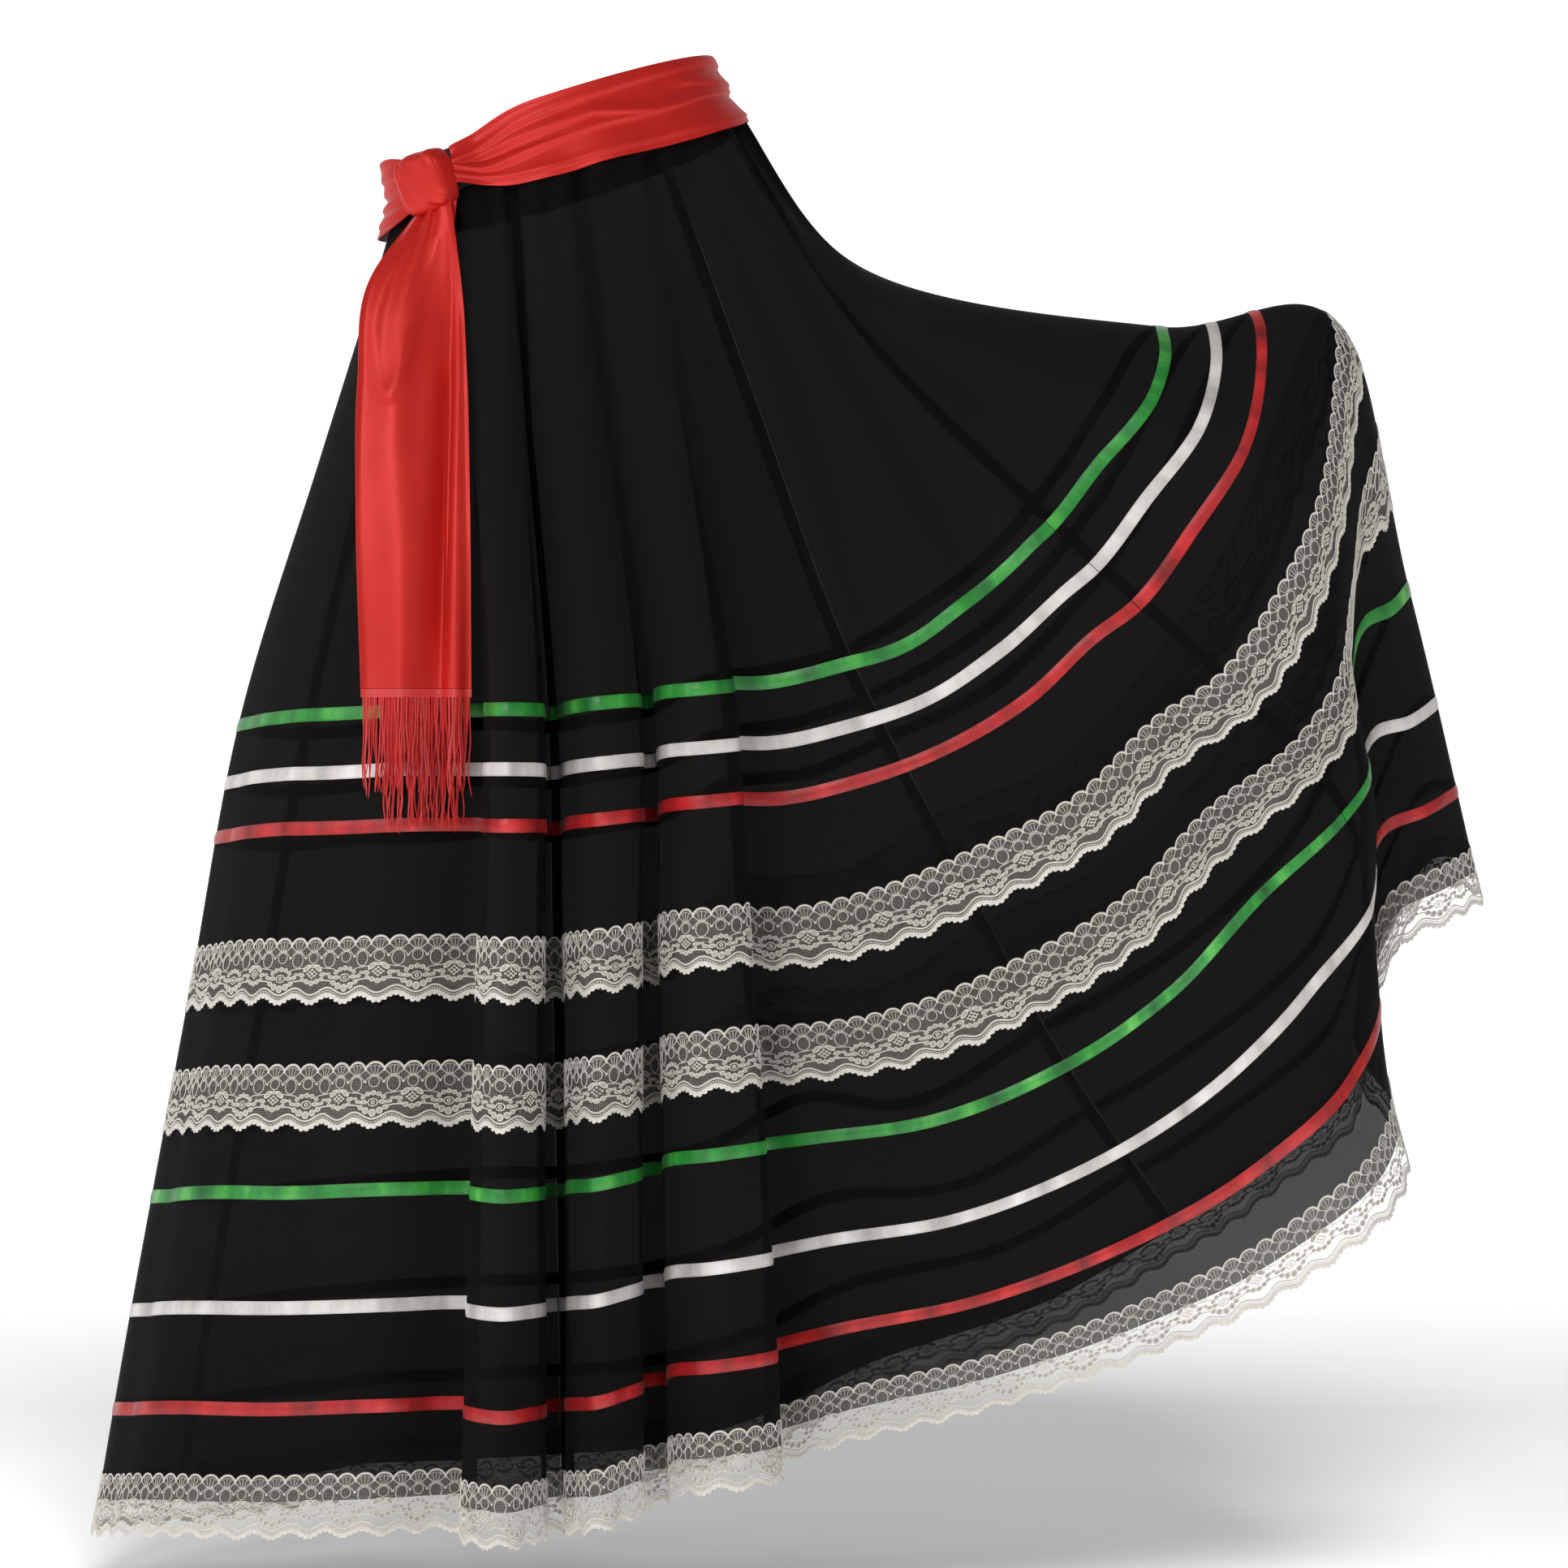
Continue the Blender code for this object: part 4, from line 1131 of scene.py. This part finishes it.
def sash_width(turn):
    """The height of the sash, turn degrees from the knot."""
    share = np.minimum(np.minimum(turn, 360 - turn) / SASH_NARROWS_OVER, 1)
    return SASH_NARROW + (SASH_WIDE - SASH_NARROW) * share * share * (3 - 2 * share)


def fold_at(degrees):
    """The value of u at a place on the waist."""
    places = sorted(row[1] for row in HANGING_FOLDS + WING_FOLDS)
    turns, place = divmod(degrees, 360)
    return turns * FOLD_COUNT + np.interp(place, places + [360], range(FOLD_COUNT + 1))


SASH_FOLDS = (
    # depth, half height above the line, then degrees from the knot and share of the way down along it
    (0.0020, 0.10, (0, 0.34), (16, 0.29), (29, 0.21), (43, 0.17), (62, 0.155), (100, 0.10), (200, 0.13),
     (290, 0.17), (330, 0.24), (360, 0.34)),
    (0.0032, 0.15, (0, 0.60), (16, 0.72), (29, 0.63), (43, 0.57), (52, 0.55), (66, 0.56)),
    (0.0026, 0.12, (6, 0.44), (16, 0.42), (29, 0.39), (43, 0.38), (54, 0.36), (62, 0.44), (75, 0.55), (86, 0.55),
     (104, 0.50), (128, 0.46)),
    (0.0016, 0.10, (0, 0.82), (20, 0.88), (45, 0.90), (80, 0.88), (120, 0.91), (170, 0.88)),
    (0.0026, 0.14, (92, 0.30), (112, 0.36), (140, 0.38), (175, 0.33), (205, 0.40), (240, 0.42)),
    (0.0030, 0.15, (140, 0.66), (170, 0.62), (205, 0.68), (250, 0.60), (300, 0.66), (340, 0.60), (356, 0.55)),
    (0.0022, 0.12, (225, 0.30), (260, 0.36), (300, 0.38), (335, 0.40), (358, 0.42)),
    (0.0018, 0.10, (180, 0.86), (230, 0.90), (290, 0.86), (335, 0.84), (360, 0.80)),
)
SASH_FOLD_UNDER = 0.030
SASH_FOLD_FADE = 9.0
SASH_EVENED = 7


def sash_relief(share, turn):
    """How far the sash stands out at its folds: each swells slowly above its line and drops sharply below."""
    relief = 0.0
    for depth, above, *line in SASH_FOLDS:
        places = [place for place, height in line]
        heights = [height for place, height in line]
        middle = np.interp(turn, places, heights)
        strength = np.clip((turn - places[0] + SASH_FOLD_FADE) / SASH_FOLD_FADE, 0, 1)
        strength = strength * np.clip((places[-1] + SASH_FOLD_FADE - turn) / SASH_FOLD_FADE, 0, 1)
        off = share - middle
        swell = np.where(off > 0, np.exp(-((off / SASH_FOLD_UNDER) ** 2)), np.exp(-((off / above) ** 2)))
        relief = relief + depth * strength * swell
    return relief


def evened(grid, reach):
    """A grid smoothed along its rows, as a taut sash bridges the gathers under it."""
    padded = np.pad(grid, ((0, 0), (reach, reach), (0, 0)), mode="reflect", reflect_type="odd")
    share = np.hanning(2 * reach + 3)[1:-1]
    share = share / share.sum()
    return sum(share[k] * padded[:, k:k + grid.shape[1]] for k in range(len(share)))


def make_sash_wrap(finish, thread):
    columns = 271
    rows = 45
    turns = SASH_STARTS + (360 - 2 * SASH_STARTS) * np.arange(columns) / (columns - 1)
    shares = np.arange(rows) / (rows - 1)
    u = np.array([fold_at(KNOT_AT + turn) for turn in turns])
    width = sash_width(turns)
    down = width[None, :] * (shares[:, None] - 0.5) - SASH_LIFT
    depth = np.linspace(0, 0.036, 19)
    below = cloth_points(u, depth)
    base = np.empty((rows, columns, 3))
    upright = waist_frame(0, 0, 1)
    for column in range(columns):
        for axis in range(3):
            base[:, column, axis] = np.interp(np.maximum(down[:, column], 0), depth, below[:, column, axis])
        base[:, column] += upright * np.maximum(-down[:, column], 0)[:, None]
    base = evened(base, SASH_EVENED)
    normal = outward(base, closed=False)
    near = np.minimum(turns, 360 - turns) - SASH_STARTS
    rise = SASH_RISE * np.exp(-((near / SASH_RISES_OVER) ** 2))
    lift = np.interp(down, *SASH_PROFILE) + rise[None, :]
    inner = base + normal * lift[:, :, None]
    relief = sash_relief(shares[:, None], turns[None, :])
    hem = 0.35 * MM * (np.exp(-(((shares - 0.02) / 0.03) ** 2)) + np.exp(-(((shares - 0.98) / 0.03) ** 2)))
    outer = inner + normal * (SASH_WALL + relief + hem[:, None])[:, :, None]
    along = np.broadcast_to(turns / 360 * 0.72, down.shape)
    uv = np.stack([down, along], -1)
    sash = wall_object("sash_wrap_satin", outer, inner, finish, uv)
    set_down(sash, ["sash_wrap"])
    stitches = [
        stitch_row(outer, normal, 2, 0, 1),
        stitch_row(outer, normal, rows - 5, 0, 1),
    ]
    points, faces, uv = joined_parts(stitches)
    sewn = make_object("sash_wrap_stitching", points, faces, [thread], uv)
    set_down(sewn, [])


def stitch_row(grid, normal, row, axis_unused, every):
    """Stitches, 3 mm apart, that lie along one row of a grid."""
    line = grid[row] + normal[row] * 0.12 * MM
    return stitch_line(line, normal[row])


def stitch_line(line, normal, pitch=3.0 * MM, length=2.1 * MM, half_width=0.28 * MM):
    """Small flat-bottomed stitches along a line of points."""
    steps = np.linalg.norm(np.diff(line, axis=0), axis=1)
    way = np.concatenate([[0.0], np.cumsum(steps)])
    count = int(way[-1] / pitch)
    starts = np.arange(count) * pitch + 0.3 * MM
    points = []
    faces = []
    for start in starts:
        ends = []
        for place in (start, start + length):
            ends.append(np.array([np.interp(place, way, line[:, axis]) for axis in range(3)]))
        out = np.array([np.interp(start, way, normal[:, axis]) for axis in range(3)])
        heading = ends[1] - ends[0]
        side = np.cross(out, heading)
        side *= half_width / max(np.linalg.norm(side), 1e-9)
        crown = out * 0.28 * MM
        first = len(points)
        middle = (ends[0] + ends[1]) / 2
        points += [ends[0], middle - side, middle + side, ends[1], middle + crown]
        faces += [(first, first + 4, first + 1), (first + 1, first + 4, first + 3),
                  (first + 3, first + 4, first + 2), (first + 2, first + 4, first),
                  (first, first + 1, first + 3, first + 2)]
    points = np.array(points)
    uv = np.stack([points[:, 0] + points[:, 1], points[:, 2]], 1)
    return points, [tuple(face) for face in faces], uv


def knot_frame():
    """The knot's middle, and its directions along the sash, out of the waist and up."""
    out = waist_point(KNOT_AT, 1) - waist_point(KNOT_AT)
    up = waist_frame(0, 0, 1)
    along = np.cross(up, out / np.linalg.norm(out))
    return waist_point(KNOT_AT, KNOT_OUT), along / np.linalg.norm(along), out / np.linalg.norm(out), up


def squared(value, power):
    return np.sign(value) * np.abs(value) ** power


def make_knot(finish):
    """The knot: the band that crosses it, wrapped round the gathered sash, with folds that run over it."""
    middle, along, out, up = knot_frame()
    rows = 49
    columns = 72
    half = np.array(KNOT_SIZE) / 2
    angle = np.linspace(-math.pi / 2, math.pi / 2, rows)[:, None]
    turn = np.linspace(0, 2 * math.pi, columns, endpoint=False)[None, :]
    reach = squared(np.cos(angle), KNOT_SQUARE)
    slant = np.sin(angle) + 0.35 * np.sin(turn + 0.6)
    folds = 0.10 * np.abs(np.sin(5.5 * slant)) ** 0.7 - 0.05 * np.exp(-(((slant - 0.42) / 0.07) ** 2))
    size = (0.90 + folds) * np.ones_like(turn)
    across = half[0] * squared(np.sin(angle), KNOT_SQUARE) * np.ones_like(turn) * 0.97
    away = half[1] * reach * squared(np.cos(turn), KNOT_SQUARE) * size
    high = half[2] * reach * squared(np.sin(turn), KNOT_SQUARE) * size
    grid = middle + along * across[..., None] + out * away[..., None] + up * high[..., None]
    body = grid[1:-1]
    points = np.concatenate([body.reshape(-1, 3), grid[:1, 0], grid[-1:, 0]])
    faces = grid_faces(rows - 2, columns, True)
    first_end = len(points) - 2
    last_row = (rows - 3) * columns
    for column in range(columns):
        after = (column + 1) % columns
        faces.append((first_end, column, after))
        faces.append((first_end + 1, last_row + after, last_row + column))
    uv = np.stack([np.broadcast_to(across[1:-1], body.shape[:2]), high[1:-1]], -1).reshape(-1, 2)
    uv = np.concatenate([uv, np.zeros((2, 2))])
    knot = make_object("sash_knot_satin", points, faces, [finish], uv)
    set_down(knot, ["sash_knot"])


def tail_edges(tail, drop, out):
    """The stations of a tail, from the underside of the knot down, each with its left and right ends."""
    middle, along, outwards, up = knot_frame()
    top = middle + outwards * out - up * (KNOT_SIZE[2] / 2 * KNOT_BOTTOM + TAIL_GAP)
    stations = [(0.0, top - along * TAIL_NECK / 2, top + along * TAIL_NECK / 2)]
    for share, left, right, depth in tail:
        height = (TAIL_TOP - drop * share) / MM
        stations.append((share, *(np.array([x, depth, height]) * MM for x in (left, right))))
    return stations


def share_of_fold(side):
    """The section of a tail: a broad roll left of the middle and a sharper one near the right edge."""
    return sum(depth * np.exp(-(((side - middle) / half) ** 2)) for middle, half, depth in TAIL_ROLLS)


def tail_grid(tail, drop, out, rows, columns):
    """The middle surface of a tail, with a smooth run through its stations."""
    stations = tail_edges(tail, drop, out)
    shares = np.array([station[0] for station in stations])
    ends = np.array([[station[1], station[2]] for station in stations])
    places = np.linspace(0, 1, rows)
    eased = np.empty((rows, 2, 3))
    slope = np.gradient(ends, shares, axis=0)
    for row, place in enumerate(places):
        at = int(np.clip(np.searchsorted(shares, place, side="right") - 1, 0, len(shares) - 2))
        step = shares[at + 1] - shares[at]
        share = (place - shares[at]) / step
        eased[row] = hermite(ends[at], ends[at + 1], slope[at] * step, slope[at + 1] * step, share)
    side = np.linspace(-1, 1, columns)
    left = eased[:, None, 0]
    right = eased[:, None, 1]
    grid = (left + right) / 2 + (right - left) * side[None, :, None] / 2
    grown = np.minimum(TAIL_FOLD_AT_TOP + TAIL_FOLD_GROWS * places, 1)
    fold = TAIL_FOLD * share_of_fold(side)[None, :] * np.sin(math.pi / 2 * grown)[:, None]
    grid[:, :, 1] -= fold
    return grid, side, places


TAIL_LOOP = (
    # side from -1 to 1, share of the way down
    (-0.45, 0.06), (-0.62, 0.14), (-0.71, 0.23), (-0.69, 0.31), (-0.60, 0.365), (-0.45, 0.385), (-0.29, 0.36),
    (-0.17, 0.32), (-0.05, 0.255), (0.11, 0.185), (0.24, 0.12), (0.36, 0.06),
)
TAIL_LOOP_RIDGE = 2.0 * MM
TAIL_LOOP_HALF = 5.5 * MM
TAIL_HOLLOW = (
    # share of the way down, side from -1 to 1
    (0.10, 0.78), (0.20, 0.74), (0.48, 0.63), (0.80, 0.50), (1.00, 0.44),
)
TAIL_HOLLOW_DEPTH = 15.0 * MM
TAIL_HOLLOW_LEFT = 0.24
TAIL_HOLLOW_RIGHT = 0.09


def distance_to_line(across, down, line):
    """How far each point lies from a line through the given points, in the same units."""
    nearest = np.full(across.shape, np.inf)
    for (x1, y1), (x2, y2) in zip(line, line[1:]):
        run = (x2 - x1) ** 2 + (y2 - y1) ** 2
        share = np.clip(((across - x1) * (x2 - x1) + (down - y1) * (y2 - y1)) / run, 0, 1)
        away = np.hypot(across - x1 - share * (x2 - x1), down - y1 - share * (y2 - y1))
        nearest = np.minimum(nearest, away)
    return nearest


def tail_relief(across, down, drop, half_wide):
    """The loop of slack below the knot, and the long hollow with a sharp right side."""
    loop = [(side * half_wide, share * drop) for side, share in TAIL_LOOP]
    away = distance_to_line(across * half_wide + 0 * down, down * drop + 0 * across, loop)
    ridge = TAIL_LOOP_RIDGE * np.exp(-((away / TAIL_LOOP_HALF) ** 2))
    middle = np.interp(down, [share for share, side in TAIL_HOLLOW], [side for share, side in TAIL_HOLLOW])
    off = across - middle
    half = np.where(off > 0, TAIL_HOLLOW_RIGHT, TAIL_HOLLOW_LEFT)
    trough = np.exp(-((off / half) ** 2))
    depth = TAIL_HOLLOW_DEPTH * np.interp(down, (0.04, 0.35, 0.85, 1.0), (0.0, 1.0, 0.8, 0.3))
    return ridge - depth * trough


def make_tail(name, tail, drop, out, finish, thread, seed):
    rows, columns = 121, 65
    grid, side, places = tail_grid(tail, drop, out, rows, columns)
    across = side[None, :]
    down = places[:, None]
    pinch = 0.0022 * np.exp(-down / 0.10) * np.cos(math.pi * 3.4 * across + seed)
    relief = tail_relief(across, down, drop, 0.038)
    ripple = 0.0008 * np.sin(7 * across + 9 * down + seed) * (1 - down * 0.3)
    lip = 0.0012 * np.exp(-(((1 - np.abs(across)) / 0.05) ** 2))
    grid[:, :, 1] -= pinch + relief + ripple + lip * np.ones_like(down)
    half = outward(grid, closed=False) * SASH_WALL / 2
    uv = np.stack([np.broadcast_to(across * 0.038, (rows, columns)), np.broadcast_to(down * drop, (rows, columns))], -1)
    made = wall_object(f"{name}_satin", grid + half, grid - half, finish, uv)
    set_down(made, [name])
    normal = half / np.linalg.norm(half, axis=2, keepdims=True)
    outer = grid + half
    parts = []
    for column in (3, columns - 4):
        parts.append(stitch_line(outer[4:, column] + normal[4:, column] * 0.05 * MM, normal[4:, column]))
    points, faces, uv = joined_parts(parts)
    sewn = make_object(f"{name}_stitching", points, faces, [thread], uv)
    set_down(sewn, [])
    return grid


def make_fringe(name, node, bottom, count, seed, finish):
    """A fringe: its heading, and threads of uneven length that hang a little apart and tangled."""
    random = np.random.default_rng(seed)
    spread = np.sort(np.linspace(0.02, 0.98, count) + random.uniform(-0.004, 0.004, count)) * (len(bottom) - 1)
    index = np.arange(len(bottom))
    tops = np.stack([np.interp(spread, index, bottom[:, axis]) for axis in range(3)], 1)
    parts = []
    heading = np.array([bottom - np.array([0, 0, 0.2 * MM]), bottom - np.array([0, 0, FRINGE_STRIP])])
    thick = np.array([0, 0.7 * MM, 0])
    points, faces = wall_parts(heading - thick, heading + thick, False)
    uv = np.stack([points[:, 0], points[:, 2]], 1)
    parts.append((points, faces, uv))
    steps = 13
    sides = 4
    for top in tops:
        share = np.linspace(0, 1, steps)
        long = (FRINGE_LONG + 0.004) * random.uniform(0.86, 1.0)
        lean = random.normal(0, 0.0022, 2)
        phase = random.uniform(0, 2 * math.pi, 2)
        sway = random.uniform(0.0004, 0.0016, 2)
        centre = np.empty((steps, 3))
        centre[:, 0] = top[0] + lean[0] * share**1.5 + sway[0] * share * np.sin(9 * share + phase[0])
        centre[:, 1] = top[1] + lean[1] * share**1.5 - 0.0012 * share + sway[1] * share * np.sin(8 * share + phase[1])
        centre[:, 2] = top[2] - FRINGE_STRIP + 0.001 - long * share
        radius = np.interp(share, (0, 0.9, 1), (0.62, 0.56, 0.2)) * MM * random.uniform(0.85, 1.1)
        angles = 2 * math.pi * np.arange(sides) / sides + phase[0]
        circle = np.stack([np.cos(angles), np.sin(angles), np.zeros(sides)], 1)
        tube = centre[:, None, :] + circle[None] * radius[:, None, None]
        faces = grid_faces(steps, sides, True)
        faces.append(tuple(range(sides))[::-1])
        faces.append(tuple(range((steps - 1) * sides, steps * sides)))
        points = tube.reshape(-1, 3)
        uv = np.stack([points[:, 0], points[:, 2]], 1)
        parts.append((points, faces, uv))
    points, faces, uv = joined_parts(parts)
    fringe = make_object(name, points, faces, [finish], uv)
    set_down(fringe, [node])


def make_sash(finishes):
    make_sash_wrap(finishes["satin"], finishes["stitching"])
    make_knot(finishes["satin"])
    front = make_tail("sash_tail_front", FRONT_TAIL, FRONT_TAIL_LONG, TAIL_APART / 2,
                      finishes["satin"], finishes["stitching"], 1.0)
    back = make_tail("sash_tail_back", BACK_TAIL, BACK_TAIL_LONG, -TAIL_APART / 2,
                     finishes["satin"], finishes["stitching"], 3.0)
    make_fringe("fringe_front_threads", "fringe_front", front[-1], 62, 5, finishes["fringe"])
    make_fringe("fringe_back_threads", "fringe_back", back[-1], 50, 8, finishes["fringe"])


# The room, the light and the camera


def make_camera():
    data = bpy.data.cameras.new("camera")
    data.sensor_width = SENSOR_MM
    data.lens = SENSOR_MM * -CAMERA_PLACE[1] / FRAME_WIDTH
    camera = bpy.data.objects.new("camera", data)
    camera.location = CAMERA_PLACE
    camera.rotation_euler = (math.pi / 2, 0, 0)
    bpy.context.scene.collection.objects.link(camera)
    bpy.context.scene.camera = camera


def make_room():
    """A pale floor that curves up into a backdrop, wide enough for any view."""
    made, shader = new_material("backdrop_paper", colour(247, 247, 247), 0.9)
    place = add_node(made, "ShaderNodeTexCoord").outputs["Object"]
    grain = noise(made, place, 3.0, 2.0)
    link(made, mixed_colour(made, grain, colour(214, 214, 215), colour(222, 222, 223)), shader.inputs["Base Color"])
    shader.inputs["Specular IOR Level"].default_value = 0.0
    shader.inputs["Emission Color"].default_value = (1, 1, 1, 1)
    behind = add_node(made, "ShaderNodeSeparateXYZ", [("Vector", place)]).outputs["Y"]
    ahead = maths(made, "MULTIPLY_ADD", behind, -1.0, -GLOW_AHEAD)
    away = maths(made, "MAXIMUM", behind, ahead)
    glow = ramp(made, away, FLOOR_GLOW, BACKDROP_GLOW, GLOW_STARTS, GLOW_FULL)
    link(made, glow, shader.inputs["Emission Strength"])
    half = 14.0
    bend = 2.0
    back = 7.0
    turns = np.radians(np.linspace(0, 90, 15))
    profile = [(-half, 0.0)] + [(back + bend * math.sin(t), bend - bend * math.cos(t)) for t in turns]
    profile.append((back + bend, 9.0))
    points = [(x, y, FLOOR_Z + z) for y, z in profile for x in (-half, half)]
    faces = [(2 * i, 2 * i + 1, 2 * i + 3, 2 * i + 2) for i in range(len(profile) - 1)]
    room = make_object("backdrop", points, faces, [made])
    return room


def add_lamp(name, x, y, z, width, height, watts):
    data = bpy.data.lights.new(name, "AREA")
    data.shape = "RECTANGLE"
    data.size = width
    data.size_y = height
    data.energy = watts
    lamp = bpy.data.objects.new(name, data)
    lamp.location = (x, y, z)
    lamp.rotation_euler = (Vector(LAMP_TARGET) - Vector((x, y, z))).to_track_quat("-Z", "Y").to_euler()
    bpy.context.scene.collection.objects.link(lamp)
    return lamp


def make_lights(room):
    world = bpy.data.worlds.new("studio")
    world.use_nodes = True
    world.node_tree.nodes["Background"].inputs["Color"].default_value = (1, 1, 1, 1)
    seen = add_node(world, "ShaderNodeLightPath").outputs["Is Camera Ray"]
    link(world, ramp(world, seen, WORLD_LIGHT, WORLD_SEEN), world.node_tree.nodes["Background"].inputs["Strength"])
    bpy.context.scene.world = world
    bpy.context.scene.view_settings.view_transform = "Standard"
    for lamp in LAMPS:
        add_lamp(*lamp)
    floor_lamp = add_lamp("floor_lamp", *FLOOR_LAMP)
    lit = bpy.data.collections.new("lit_by_the_floor_lamp")
    lit.objects.link(room)
    floor_lamp.light_linking.receiver_collection = lit


def main():
    make_camera()
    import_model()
    voile = voile_material("voile", 0.75)
    finishes = {
        # Each ribbon's colours: painted shade, its own colour, painted highlight, then its stitching thread.
        "green_satin": ribbon_material("green_satin", colour(18, 84, 36), colour(40, 142, 52),
                                       colour(104, 200, 84), colour(26, 100, 40)),
        "white_satin": ribbon_material("white_satin", colour(170, 163, 160), colour(214, 208, 204),
                                       colour(244, 242, 240), colour(176, 170, 166)),
        "red_ribbon": ribbon_material("red_ribbon", colour(112, 14, 18), colour(178, 28, 30),
                                      colour(220, 52, 50), colour(120, 18, 22)),
        "satin": satin_material(),
        "stitching": stitching_material(),
        "fringe": fringe_material(),
    }
    threads = [lace_thread_material(), lace_woven_material()]
    net = lace_net_material()
    cloth = Cloth()
    make_waistband(cloth, elastic_material())
    make_panels(cloth, voile)
    make_seams(cloth, voile)
    make_ribbons(cloth, finishes)
    pattern = lace_pattern()
    for node, top, width in LACES:
        make_lace(cloth, node, top, width, pattern, threads, net)
    make_sash(finishes)
    make_lights(make_room())


main()
